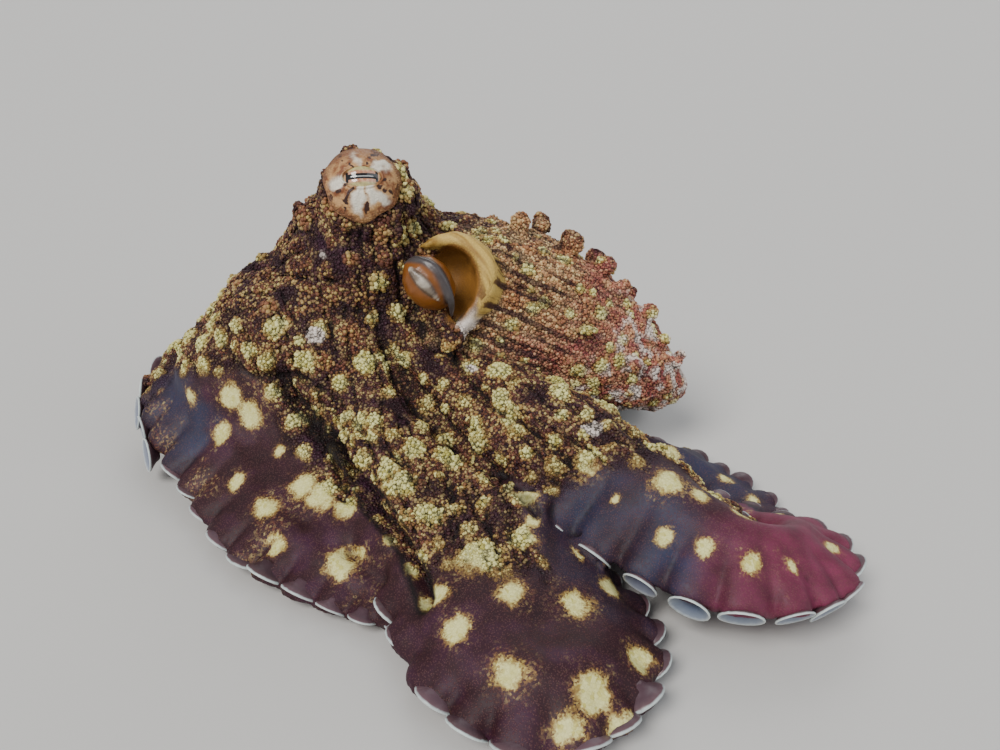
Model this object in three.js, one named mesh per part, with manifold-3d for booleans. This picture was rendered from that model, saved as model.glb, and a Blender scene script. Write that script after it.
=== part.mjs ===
// A day octopus at life size, sitting on a level floor: head raised, sac-like mantle sagging behind
// it, left arms swept round in front and right arms trailed behind. Millimetres, +Z up. The origin
// is on the floor under the mouth, the head faces -X and the left side faces -Y.
import * as THREE from "three";
import { mergeVertices } from "three/addons/utils/BufferGeometryUtils.js";
import Module from "manifold-3d";

const wasm = await Module();
wasm.setup();

// ---- fits ----
const GAP = 0.3; // between neighbouring nodes
const SINK = 0.8; // soft undersides are pressed this far into the floor, then cut flat

// ---- body sizes ----
// The crown's dome, and the two shoulders that slope from it out to the left arms.
const CROWN = [
  { centre: [4, 2, 18], radii: [57, 52, 66] },
  { centre: [-8, -4, 50], radii: [41, 38, 30] },
  { centre: [-22, -4, 30], radii: [44, 36, 30] },
];
const HEAD = { centre: [12, -1, 76], radii: [33, 32, 29] };
const MANTLE = {
  from: [24, -3, 72], // under the back of the head
  crest: [68, -6, 59], // where the sac's back is highest
  tip: [132, -8, 22],
  radius: 33,
  neck: 0.16, // share of the sac's swell that the neck already has
  fullness: 0.62, // below 1 the sac swells early and ends bluntly
  flatness: 0.94, // height against width
};
const FUNNEL = {
  root: [45, -28, 74],
  mouth: [30, -40, 76],
  radius: 8.5,
  narrowing: 0.25,
  lip: 1.2,
  lipFrom: 0.8, // share of the length
  flatness: 1.15,
};
const CAVITY = { centre: [47, -36, 77], radii: [14, 14, 15] };
const TURRETS = {
  left: { centre: [14, -18, 103.5], radius: 14.8, look: [0.13, -0.81, 0.57] },
  right: { centre: [15, 17, 94], radius: 14, look: [-0.05, 0.97, 0.2] },
};
const EYE_RADIUS = 11;
const EYE_PROUD = 0.8; // how far the eyeball stands out of its turret
const PAPILLA = { radius: 3.4, tip: 0.45, height: 6, sides: 5 }; // tip as a share of the radius
const BROW_PAPILLAE = [[0.9, -0.3, 0.1], [0.8, 0.5, 0.3], [-0.85, -0.1, 0.1]]; // directions from the dome
// Along the back of the mantle, swaying by some degrees to either side and leaning to its tip.
const MANTLE_PAPILLAE = { count: 7, from: 0.3, to: 0.9, sway: 34, step: 2.4, lean: 0.25 };

// ---- arms ----
// Each leaves the mouth, passes through its stations, given as [x, y, height of its sole], and ends
// in a curl of [length, turn in degrees anticlockwise]. Scallops run [from, to] mm out, and a fold
// of skin closes an arm's own bend between two spans of it. An arm lies over those named after it.
const ARMS = {
  left_1: { width: 45, scallops: [66, 215], curl: [36, 30],
    stations: [[-36, 12, 38], [-57, 8, 23], [-48, -15, 12], [-28, -46, 2], [-11, -76, 0], [16, -100, 0],
      [42, -115, 0]] },
  left_3: { width: 53, scallops: [112, 220], curl: [64, 320],
    stations: [[30, -24, 38], [62, -46, 24], [90, -70, 19], [111, -94, 14], [130, -106, 11], [146, -100, 8],
      [151, -85, 4], [142, -73, 0]] },
  left_2: { width: 44, scallops: [118, 250], curl: [66, -200], fold: [[118, 180], [248, 192]],
    stations: [[15, -34, 34], [31, -66, 15], [43, -92, 6], [51, -114, 1], [57, -133, 0], [71, -145, 0],
      [85, -135, 0], [87, -116, 0], [78, -98, 0], [64, -80, 0]] },
  left_4: { width: 40, curl: [50, -200],
    stations: [[38, -10, 36], [72, -26, 10], [100, -32, 6], [125, -35, 2], [136, -43, 0]] },
  right_4: { width: 40, curl: [110, 300],
    stations: [[42, 10, 34], [74, 14, 10], [100, 28, 2], [108, 50, 0]] },
  right_3: { width: 44, curl: [130, 330],
    stations: [[28, 30, 34], [48, 58, 10], [60, 92, 0], [66, 122, 0]] },
  right_2: { width: 44, curl: [140, 330],
    stations: [[-6, 40, 34], [-2, 74, 10], [12, 108, 0], [16, 138, 0]] },
  right_1: { width: 44, curl: [110, -320],
    stations: [[-32, 24, 34], [-56, 50, 10], [-62, 82, 0], [-54, 106, 0]] },
};
const MOUTH_RISE = 4; // the arms' soles meet this much above their first station
const COURSE_DIVISIONS = 400; // of an arm's course, to measure its length
const HEADING_SPAN = 4; // mm either way over which an arm's heading is taken
const CURL_SETTLES = 0.96; // share of its height that a curl keeps per mm
const TIP_WIDTH = 3;
const TAPER = 2; // above 1 keeps the arm thick for longer
const ROOT_SHARE = 0.72; // arms are narrower where they crowd together at the crown
const WIDENS = [30, 95]; // mm from the mouth over which it broadens
const HEIGHT_SHARE = 0.64; // an arm's height against its width
const FLARE = 0.15; // the sucker-bearing edges stand out by this share of the arm's width
const FLARE_FROM = [45, 100]; // mm out from the mouth over which the edges come free of the web
const SCALLOP = { pitch: 14, depth: 0.5 }; // mm, share of the flare
const RING = { least: 7, most: 19, share: 0.7 }; // between rings: mm, and a share of the width
const LENGTHS = [["base", 38, 0.34], ["middle", 0.34, 0.66], ["tip", 0.66, 1]]; // mm, or shares of an arm
const ARM_SIDES = 8;
const ARM_ROUNDNESS = 0.85; // below 1 the arm's back is fuller than an ellipse
const EDGE_DROP = 0.45; // how far below its middle an arm is widest, as a share of its half height
const INNER = { share: 0.85, slack: 0.1 }; // how near to a bend's centre the arm's inner side may come
const WATCHED = { rings: 8, widths: 1.3 }; // rings ahead, and their reach, that a ring must not cross

// ---- webs ----
// Each joins two neighbouring arms between the given distances from the mouth.
const WEBS = {
  web_left_1_2: ["left_1", "left_2", [34, 190], [34, 140]],
  web_left_2_3: ["left_2", "left_3", [40, 165], [40, 128]],
  web_left_3_4: ["left_3", "left_4", [40, 112], [40, 104]],
  web_rear: ["left_4", "right_4", [50, 110], [50, 110]],
  web_right_4_3: ["right_4", "right_3", [36, 100], [36, 90]],
  web_right_3_2: ["right_3", "right_2", [36, 100], [36, 100]],
  web_right_2_1: ["right_2", "right_1", [36, 100], [36, 100]],
};
const WEB = { thick: 7, inset: 2, sag: 0.06, scoop: 0.14, across: 3, along: 5 };
const RINGS_CROWD = 1.15; // above 1, more of the sac's and funnel's rings lie by the rounded end

// ---- colours ----
const SKIN = new THREE.MeshStandardMaterial({ color: 0x5d3b37, roughness: 0.62, metalness: 0 });
const ARM_SKIN = new THREE.MeshStandardMaterial({ color: 0x4d2733, roughness: 0.5, metalness: 0 });
const FUNNEL_SKIN = new THREE.MeshStandardMaterial({ color: 0xa8662f, roughness: 0.4, metalness: 0 });
const EYE = new THREE.MeshStandardMaterial({ color: 0x2b1c14, roughness: 0.12, metalness: 0 });

const degrees = THREE.MathUtils.degToRad;
const { lerp, clamp, smoothstep } = THREE.MathUtils;

// ---- solids ----
function solidOf(geometry) {
  const bare = geometry.clone();
  bare.deleteAttribute("normal");
  bare.deleteAttribute("uv");
  const merged = mergeVertices(bare, 1e-4);
  return new wasm.Manifold(new wasm.Mesh({
    numProp: 3,
    vertProperties: new Float32Array(merged.attributes.position.array),
    triVerts: new Uint32Array(merged.index.array),
  }));
}

function geometryOf(solid) {
  const mesh = solid.getMesh();
  return new THREE.BufferGeometry()
    .setAttribute("position", new THREE.BufferAttribute(mesh.vertProperties, 3))
    .setIndex(new THREE.BufferAttribute(mesh.triVerts, 1));
}

// Moves every vertex of a closed geometry by a function of its place.
function shaped(geometry, place) {
  const position = geometry.attributes.position;
  const v = new THREE.Vector3();
  for (let i = 0; i < position.count; i++) {
    const p = place(v.fromBufferAttribute(position, i));
    position.setXYZ(i, p.x, p.y, p.z);
  }
  return geometry;
}

function ellipsoid({ centre, radii }, grow = 0, around = 16, up = 10) {
  const [x, y, z] = radii.map((r) => r + grow);
  const ball = new THREE.SphereGeometry(1, around, up);
  return solidOf(ball.rotateX(Math.PI / 2).scale(x, y, z).translate(...centre));
}

const floorBlock = solidOf(new THREE.BoxGeometry(1200, 1200, 100).translate(0, 0, -50));

const largest = (solid) => solid.decompose().reduce((a, b) => (a.volume() > b.volume() ? a : b));

// ---- arms: route, size and section ----
// The arm's middle line as points a millimetre apart, with the height of its sole and its heading.
function walk(arm) {
  const mouth = [0, 0, arm.stations[0][2] + MOUTH_RISE];
  const stops = [mouth, ...arm.stations].map((p) => new THREE.Vector3(...p));
  const course = new THREE.CatmullRomCurve3(stops, false, "centripetal");
  course.arcLengthDivisions = COURSE_DIVISIONS;
  const points = course.getSpacedPoints(Math.round(course.getLength()));
  const last = points.length - 1;
  let heading = Math.atan2(points[last].y - points[last - 1].y, points[last].x - points[last - 1].x);
  const [length, turn] = arm.curl;
  for (let s = 1; s <= length; s++) {
    heading += degrees(turn) * ((s / length) ** 2 - ((s - 1) / length) ** 2); // tightens to the tip
    const { x, y, z } = points[points.length - 1];
    points.push(new THREE.Vector3(x + Math.cos(heading), y + Math.sin(heading), z * CURL_SETTLES));
  }
  return points.map(({ x, y, z }, i) => {
    const back = points[Math.max(i - HEADING_SPAN, 0)];
    const on = points[Math.min(i + HEADING_SPAN, points.length - 1)];
    return { x, y, sole: z, ahead: new THREE.Vector3().subVectors(on, back).normalize() };
  });
}

for (const arm of Object.values(ARMS)) {
  arm.points = walk(arm);
  arm.length = arm.points.length - 1;
}

function widthAt(arm, s) {
  const share = lerp(ROOT_SHARE, 1, smoothstep(s, ...WIDENS));
  return share * (TIP_WIDTH + (arm.width - TIP_WIDTH) * (1 - clamp(s / arm.length, 0, 1) ** TAPER));
}

// The middle of the arm at a distance from the mouth, with its heading and its half height.
function middleAt(arm, s) {
  const at = clamp(s, 0, arm.length - 0.001);
  const [a, b] = [arm.points[Math.floor(at)], arm.points[Math.floor(at) + 1]];
  const t = at - Math.floor(at);
  const half = (widthAt(arm, s) * HEIGHT_SHARE) / 2;
  const ahead = new THREE.Vector3().lerpVectors(a.ahead, b.ahead, t).setZ(0).normalize();
  const z = lerp(a.sole, b.sole, t) + half - SINK;
  return { x: lerp(a.x, b.x, t), y: lerp(a.y, b.y, t), z, ahead, half };
}

const scalloped = (arm, s) => Boolean(arm.scallops) && s > arm.scallops[0] && s < arm.scallops[1];

// Where the rings of an arm's mesh lie: two to each scallop, then closer together to the tip.
function ringsOf(arm, from, to) {
  const rings = [from];
  let s = from;
  while (s < to) {
    s += scalloped(arm, s) ? SCALLOP.pitch / 2 : clamp(widthAt(arm, s) * RING.share, RING.least, RING.most);
    rings.push(Math.min(s, to));
  }
  return rings;
}

// How far each ring may reach to its left and right before it would cross a ring near it.
function reaches(middles) {
  const reach = middles.map(() => [1e3, 1e3]);
  middles.forEach((p, i) => middles.slice(i + 1, i + 1 + WATCHED.rings).forEach((q, k) => {
    const [dx, dy] = [q.x - p.x, q.y - p.y];
    const cross = p.ahead.x * q.ahead.y - p.ahead.y * q.ahead.x;
    const one = (dx * q.ahead.x + dy * q.ahead.y) / cross;
    const other = (dx * p.ahead.x + dy * p.ahead.y) / cross;
    const width = (2 * p.half) / HEIGHT_SHARE;
    if (one * other <= 0 || Math.max(Math.abs(one), Math.abs(other)) > width * WATCHED.widths) return;
    const hand = cross > 0 ? 0 : 1;
    reach[i][hand] = Math.min(reach[i][hand], Math.abs(one));
    reach[i + 1 + k][hand] = Math.min(reach[i + 1 + k][hand], Math.abs(other));
  }));
  return reach;
}

// A length of arm: a fleshy, flat-soled tube whose lower edges flare out in scallops of suckers.
function armLength(arm, from, to, grow = 0) {
  const rings = ringsOf(arm, from, to);
  rings[0] -= grow;
  rings[rings.length - 1] += grow;
  const middles = rings.map((s) => middleAt(arm, s));
  const reach = reaches(middles);
  const tube = new THREE.CylinderGeometry(1, 1, rings.length - 1, ARM_SIDES, rings.length - 1);
  return solidOf(shaped(tube, (v) => {
    const ring = Math.round((rings.length - 1) / 2 - v.y);
    const { x, y, z, ahead, half } = middles[ring];
    const width = widthAt(arm, rings[ring]);
    const edge = Math.abs(v.x) > 0.99; // the flared corner on each side
    const wave = scalloped(arm, rings[ring]) ? SCALLOP.depth * (ring % 2 ? 1 : -1) : 0;
    const flare = width * FLARE * (1 + wave) * smoothstep(rings[ring], ...FLARE_FROM);
    const wide = v.x * (width / 2 + grow) + (edge ? Math.sign(v.x) * flare : 0);
    const inner = reach[ring][wide > 0 ? 0 : 1] * (INNER.share + grow * INNER.slack) * Math.abs(v.x);
    const side = Math.sign(wide) * Math.min(Math.abs(wide), inner);
    const top = Math.sign(v.z) * Math.abs(v.z) ** ARM_ROUNDNESS * (half + grow);
    const rise = edge ? -half * EDGE_DROP : top;
    return new THREE.Vector3(x - side * ahead.y, y + side * ahead.x, z + rise);
  }));
}

// ---- head, mantle, funnel and eyes ----
const spine = new THREE.QuadraticBezierCurve3(
  new THREE.Vector3(...MANTLE.from), new THREE.Vector3(...MANTLE.crest), new THREE.Vector3(...MANTLE.tip));

function sacRadius(t) {
  return MANTLE.radius * Math.sin(Math.PI * lerp(MANTLE.neck, 1, t)) ** MANTLE.fullness;
}

// A closed tube along a curve, its radius a function of the share of the curve's length.
function tubeAlong(curve, radiusAt, { flatness = 1, around = 14, along = 9, grow = 0 } = {}) {
  const tube = new THREE.CylinderGeometry(1, 1, 1, around, along);
  const up = new THREE.Vector3(0, 0, 1);
  return solidOf(shaped(tube, (v) => {
    const share = clamp(0.5 - v.y, 0, 1);
    const t = Math.sin((share * Math.PI) / 2) ** RINGS_CROWD;
    const ahead = curve.getTangent(t);
    const across = new THREE.Vector3().crossVectors(up, ahead).normalize();
    const back = new THREE.Vector3().crossVectors(ahead, across);
    const r = radiusAt(t) + grow;
    return curve.getPoint(t).addScaledVector(across, v.x * r).addScaledVector(back, v.z * r * flatness);
  }));
}

function papilla(at, outward) {
  const { radius, tip, height, sides } = PAPILLA;
  const cone = new THREE.CylinderGeometry(radius * tip, radius, height, sides);
  const turn = new THREE.Quaternion().setFromUnitVectors(new THREE.Vector3(0, 1, 0), outward);
  return solidOf(cone.applyQuaternion(turn).translate(...at));
}

function mantle(grow = 0) {
  let sac = tubeAlong(spine, sacRadius, { flatness: MANTLE.flatness, grow });
  const { count, from, to, sway, step, lean } = MANTLE_PAPILLAE;
  for (let i = 0; i < count; i++) {
    const t = lerp(from, to, i / (count - 1));
    const around = degrees(90 + sway * Math.sin(i * step));
    const outward = new THREE.Vector3(lean, Math.cos(around), Math.sin(around)).normalize();
    sac = sac.add(papilla(spine.getPoint(t).addScaledVector(outward, sacRadius(t)), outward));
  }
  return sac;
}

function funnel(grow = 0) {
  const { root, mouth, radius, narrowing, lip, lipFrom, flatness } = FUNNEL;
  const path = new THREE.LineCurve3(new THREE.Vector3(...root), new THREE.Vector3(...mouth));
  const swell = (t) => radius * (1 - narrowing * t) + (t > lipFrom ? lip : 0);
  return tubeAlong(path, swell, { flatness, around: 12, along: 5, grow });
}

// A ball whose pole looks the way the eye does, so that eye and socket meet in a round opening.
function lookingBall(centre, radius, look, grow) {
  const ball = new THREE.SphereGeometry(radius + grow, 12, 8);
  const turn = new THREE.Quaternion().setFromUnitVectors(new THREE.Vector3(0, 1, 0), look);
  return solidOf(ball.applyQuaternion(turn).translate(...centre.toArray()));
}

function eyeball({ centre, radius, look }, grow = 0) {
  const gaze = new THREE.Vector3(...look).normalize();
  const middle = new THREE.Vector3(...centre).addScaledVector(gaze, radius - EYE_RADIUS + EYE_PROUD);
  return lookingBall(middle, EYE_RADIUS, gaze, grow);
}

function turret({ centre, radius, look }, grow = 0) {
  const middle = new THREE.Vector3(...centre);
  const dome = lookingBall(middle, radius, new THREE.Vector3(...look).normalize(), grow);
  return BROW_PAPILLAE.reduce((lid, way) => {
    const outward = new THREE.Vector3(...way).normalize();
    return lid.add(papilla(middle.clone().addScaledVector(outward, radius), outward));
  }, dome);
}

// ---- webs ----
function web([one, other, spanOne, spanOther], grow = 0) {
  const [a, b] = [ARMS[one], ARMS[other]];
  const sheet = new THREE.BoxGeometry(1, 1, 1, WEB.across, WEB.along, 1);
  return solidOf(shaped(sheet, (v) => {
    const across = 0.5 - v.x;
    const out = (v.y + 0.5) * (1 - WEB.scoop * Math.sin(Math.PI * across));
    const p = middleAt(a, lerp(...spanOne, out));
    const q = middleAt(b, lerp(...spanOther, out));
    const sag = 1 - WEB.sag * Math.sin(Math.PI * across);
    const top = lerp(p.z + p.half, q.z + q.half, across) * sag - WEB.inset + grow;
    const height = v.z > 0 ? top : top - WEB.thick - 2 * grow;
    return new THREE.Vector3(lerp(p.x, q.x, across), lerp(p.y, q.y, across), height);
  }));
}

// ---- fit everything together: each node gives way to those made before it ----
const nodes = [];
const grown = []; // the same forms a gap larger, which later nodes are cut by

function addNode(name, material, form, grownForm) {
  const rough = [...grown, floorBlock].reduce((solid, other) => solid.subtract(other), form);
  const mesh = new THREE.Mesh(geometryOf(largest(rough)), material);
  mesh.name = name;
  nodes.push(mesh);
  grown.push(grownForm.add(form));
}

for (const side of ["left", "right"]) {
  addNode("eye_" + side, EYE, eyeball(TURRETS[side]), eyeball(TURRETS[side], GAP));
}
addNode("funnel", FUNNEL_SKIN, funnel(), funnel(GAP));
const crown = (grow = 0) => CROWN.map((form) => ellipsoid(form, grow, 12, 8)).reduce((a, b) => a.add(b));
addNode("crown", SKIN, crown(), crown(GAP));
for (const [name, arm] of Object.entries(ARMS)) {
  for (const [part, from, to] of LENGTHS) {
    const start = from > 1 ? from : from * arm.length + GAP / 2;
    const end = to * arm.length - GAP / 2;
    const [form, grownForm] = [0, GAP].map((grow) => {
      const length = armLength(arm, start, end, grow);
      return arm.fold && part === "middle" ? length.add(web([name, name, ...arm.fold], grow)) : length;
    });
    addNode(`arm_${name}_${part}`, ARM_SKIN, form, grownForm);
  }
}
addNode("head", SKIN, ellipsoid(HEAD).subtract(ellipsoid(CAVITY)), ellipsoid(HEAD, GAP));
for (const side of ["left", "right"]) {
  addNode("turret_" + side, SKIN, turret(TURRETS[side]), turret(TURRETS[side], GAP));
}
addNode("mantle", SKIN, mantle().subtract(ellipsoid(CAVITY)), mantle(GAP));
for (const [name, span] of Object.entries(WEBS)) {
  addNode(name, SKIN, web(span), web(span, GAP));
}

const octopus = new THREE.Group();
octopus.add(...nodes);
export default octopus;
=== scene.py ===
"""A life-size model of an octopus at rest, with its arms spread and rolled on the floor."""
import math

import bmesh
import bpy
import numpy as np
from mathutils import Matrix, Vector, kdtree, noise
from mathutils.bvhtree import BVHTree


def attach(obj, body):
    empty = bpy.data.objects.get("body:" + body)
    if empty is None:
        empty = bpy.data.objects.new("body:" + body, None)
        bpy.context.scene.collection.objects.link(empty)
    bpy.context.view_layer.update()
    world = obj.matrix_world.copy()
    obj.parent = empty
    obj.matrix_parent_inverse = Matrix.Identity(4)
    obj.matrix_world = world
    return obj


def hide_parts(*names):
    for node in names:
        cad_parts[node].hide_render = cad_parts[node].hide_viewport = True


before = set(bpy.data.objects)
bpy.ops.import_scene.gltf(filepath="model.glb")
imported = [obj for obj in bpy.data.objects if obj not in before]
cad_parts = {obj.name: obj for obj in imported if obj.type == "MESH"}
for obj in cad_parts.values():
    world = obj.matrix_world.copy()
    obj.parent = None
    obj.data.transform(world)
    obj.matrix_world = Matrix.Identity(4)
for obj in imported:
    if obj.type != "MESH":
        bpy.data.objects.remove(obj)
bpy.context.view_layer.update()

MM = 0.001
RNG = np.random.default_rng(41)

# ---- the model's own sizes, in millimetres, as in the part's source ----
CROWN = ((4, 2, 18), (56, 51, 65))
FLESH = (  # rounded masses under the skin: both shoulders, and the fold of the nearest arm
    ((-8, -4, 50), (39.5, 36.5, 28.5)), ((-22, -4, 30), (42.5, 34.5, 28.5)),
    ((70, -106, 6), (24, 31, 18)), ((60, -82, 6), (26, 24, 20)))
HEAD = ((12, -1, 76), (32, 31, 28))
MANTLE_SPINE = ((24, -3, 72), (68, -6, 59), (132, -8, 22))
MANTLE_RADIUS = 31
MANTLE_NECK = 0.16
TURRETS = {
    "left": ((14, -18, 103.5), 14.8, (0.13, -0.81, 0.57)),
    "right": ((15, 17, 94), 14.0, (-0.05, 0.97, 0.2)),
}
EYE_RADIUS = 11
EYE_PROUD = 0.8
# free: where the right and the left edge of each arm come out of the web, from the mouth
ARMS = {
    "left_1": dict(width=45, curl=(36, 30), free=(60, 190), granular=86, stations=(
        (-36, 12, 38), (-57, 8, 23), (-48, -15, 12), (-28, -46, 2), (-11, -76, 0),
        (16, -100, 0), (42, -115, 0))),
    "left_3": dict(width=53, curl=(64, 320), free=(112, 150), granular=126, stations=(
        (30, -24, 38), (62, -46, 24), (90, -70, 19), (111, -94, 14), (130, -106, 11),
        (146, -100, 8), (151, -85, 4), (142, -73, 0))),
    "left_2": dict(width=44, curl=(66, -200), free=(114, 262), granular=132, stations=(
        (15, -34, 34), (31, -66, 15), (43, -92, 6), (51, -114, 1), (57, -133, 0),
        (71, -145, 0), (85, -135, 0), (87, -116, 0), (78, -98, 0), (64, -80, 0))),
    "left_4": dict(width=40, curl=(50, -200), free=(120, 100), granular=80, stations=(
        (38, -10, 36), (72, -26, 10), (100, -32, 6), (125, -35, 2), (136, -43, 0))),
    "right_4": dict(width=40, curl=(110, 300), free=(95, 95), granular=90, stations=(
        (42, 10, 34), (74, 14, 10), (100, 28, 2), (108, 50, 0))),
    "right_3": dict(width=44, curl=(130, 330), free=(95, 95), granular=90, stations=(
        (28, 30, 34), (48, 58, 10), (60, 92, 0), (66, 122, 0))),
    "right_2": dict(width=44, curl=(140, 330), free=(95, 95), granular=90, stations=(
        (-6, 40, 34), (-2, 74, 10), (12, 108, 0), (16, 138, 0))),
    "right_1": dict(width=44, curl=(110, -320), free=(90, 90), granular=85, stations=(
        (-32, 24, 34), (-56, 50, 10), (-62, 82, 0), (-54, 106, 0))),
}
LID_REACH = 64  # degrees of the dome that each lid covers, from the middle of the eye
TIP_WIDTH = 3
ROOT_SHARE = 0.72
HEIGHT_SHARE = 0.64
FLARE_SHARE = 0.15
COAT_DEPTH = 1.2  # how far the skin lies inside the solids

# ---- how fine the meshes are; the grains are voxel sizes in millimetres ----
TRUNK_GRAIN, RIM_GRAIN, SKIN_GRAIN, FUNNEL_GRAIN = 2.2, 1.5, 1.35, 0.45
SKIN_TRIANGLES = 196000
COAT_TRIANGLES = 190000  # at most, in each piece of the coat
GRANULES_TRIED = 330000  # places drawn, before they are thinned to their spacing


# ---- small helpers ----
def step(x, low, high):
    """0 below low, 1 above high and a smooth ramp between."""
    t = np.clip((np.asarray(x, float) - low) / (high - low), 0, 1)
    return t * t * (3 - 2 * t)


def unit(v):
    v = np.asarray(v, float)
    return v / np.linalg.norm(v, axis=-1, keepdims=True)


def field(points, size, offset=0.0, octaves=3):
    """Smooth noise of about -1 to 1 whose lumps are size millimetres across."""
    return np.array([noise.fractal(Vector(p), 1.0, 2.0, octaves) for p in points / size + offset])


def shown(name, data):
    """A mesh, a lamp or a camera as an object in the scene."""
    piece = bpy.data.objects.new(name, data)
    bpy.context.scene.collection.objects.link(piece)
    return piece


def new_object(name, bm):
    mesh = bpy.data.meshes.new(name)
    bm.to_mesh(mesh)
    bm.free()
    return shown(name, mesh)


def copy_of(piece):
    twin = piece.copy()
    twin.data = piece.data.copy()
    bpy.context.scene.collection.objects.link(twin)
    return twin


def bake(piece, kind, **settings):
    """Adds a modifier, applies it to the mesh and takes it off again."""
    modifier = piece.modifiers.new(kind, kind)
    for key, value in settings.items():
        setattr(modifier, key, value)
    graph = bpy.context.evaluated_depsgraph_get()
    made = bpy.data.meshes.new_from_object(piece.evaluated_get(graph))
    piece.modifiers.clear()
    old, piece.data = piece.data, made
    bpy.data.meshes.remove(old)
    return piece


def joined(name, bms):
    """One object from several closed bmeshes."""
    whole = bmesh.new()
    scrap = bpy.data.meshes.new("scrap")
    for bm in bms:
        bm.to_mesh(scrap)
        whole.from_mesh(scrap)
        bm.free()
    bpy.data.meshes.remove(scrap)
    return new_object(name, whole)


def places(piece):
    co = np.empty(len(piece.data.vertices) * 3)
    piece.data.vertices.foreach_get("co", co)
    return co.reshape(-1, 3)


def normals(piece):
    out = np.empty(len(piece.data.vertices) * 3, np.float32)
    piece.data.vertex_normals.foreach_get("vector", out)
    return out.reshape(-1, 3).astype(float)


def move(piece, points):
    piece.data.vertices.foreach_set("co", points.astype(np.float32).ravel())
    piece.data.update()


def drop(piece):
    mesh = piece.data
    bpy.data.objects.remove(piece)
    bpy.data.meshes.remove(mesh)


def ball(centre, radii, fineness=4):
    bm = bmesh.new()
    bmesh.ops.create_icosphere(bm, subdivisions=fineness, radius=1)
    bmesh.ops.scale(bm, verts=bm.verts, vec=Vector(radii))
    bmesh.ops.translate(bm, verts=bm.verts, vec=Vector(centre))
    return bm


def laid(along, around, place):
    """A grid laid out by place(share along, share around), merged where its edges meet."""
    bm = bmesh.new()
    bmesh.ops.create_grid(bm, x_segments=along, y_segments=around, size=0.5)
    flat = np.array([v.co[:2] for v in bm.verts]) + 0.5
    for v, p in zip(bm.verts, place(flat[:, 0], flat[:, 1])):
        v.co = p
    bmesh.ops.remove_doubles(bm, verts=bm.verts, dist=1e-3)
    return bm


def closed(bm):
    """Fills every opening and turns the faces outwards."""
    bmesh.ops.holes_fill(bm, edges=[e for e in bm.edges if e.is_boundary])
    bmesh.ops.recalc_face_normals(bm, faces=bm.faces)
    return bm


def rolled(along, around, place):
    """A closed tube, its ends filled."""
    return closed(laid(along, around, place))


def spread(points, spacing):
    """Picks points, in a shuffled order, that keep at least their own spacing from each other."""
    spacing = np.broadcast_to(spacing, len(points))
    cell = spacing.max()
    cells, kept = {}, []
    for i in RNG.permutation(len(points)):
        p = points[i]
        key = tuple((p // cell).astype(int))
        near = [j for dx in (-1, 0, 1) for dy in (-1, 0, 1) for dz in (-1, 0, 1)
                for j in cells.get((key[0] + dx, key[1] + dy, key[2] + dz), ())]
        if all(((p - points[j]) ** 2).sum() > spacing[i] ** 2 for j in near):
            cells.setdefault(key, []).append(i)
            kept.append(i)
    return np.array(kept)


# ---- the arms' routes ----
def through(stops):
    """Points a millimetre apart on a centripetal Catmull-Rom curve through the stops."""
    p = np.array(stops, float)
    p = np.vstack([2 * p[0] - p[1], p, 2 * p[-1] - p[-2]])
    line = []
    for a, b, c, d in zip(p, p[1:], p[2:], p[3:]):
        gaps = [np.linalg.norm(q - r) ** 0.5 for q, r in ((b, a), (c, b), (d, c))]
        leave = (b - a) / gaps[0] - (c - a) / (gaps[0] + gaps[1]) + (c - b) / gaps[1]
        arrive = (c - b) / gaps[1] - (d - b) / (gaps[1] + gaps[2]) + (d - c) / gaps[2]
        leave, arrive = leave * gaps[1], arrive * gaps[1]
        t = np.linspace(0, 1, 80)[:, None]
        line.append(b + leave * t + (3 * (c - b) - 2 * leave - arrive) * t**2
                    + (2 * (b - c) + leave + arrive) * t**3)
    line = np.vstack(line)
    run = np.concatenate([[0], np.cumsum(np.linalg.norm(np.diff(line, axis=0), axis=1))])
    at = np.linspace(0, run[-1], round(run[-1]) + 1)
    return np.stack([np.interp(at, run, line[:, k]) for k in range(3)], 1)


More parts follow.
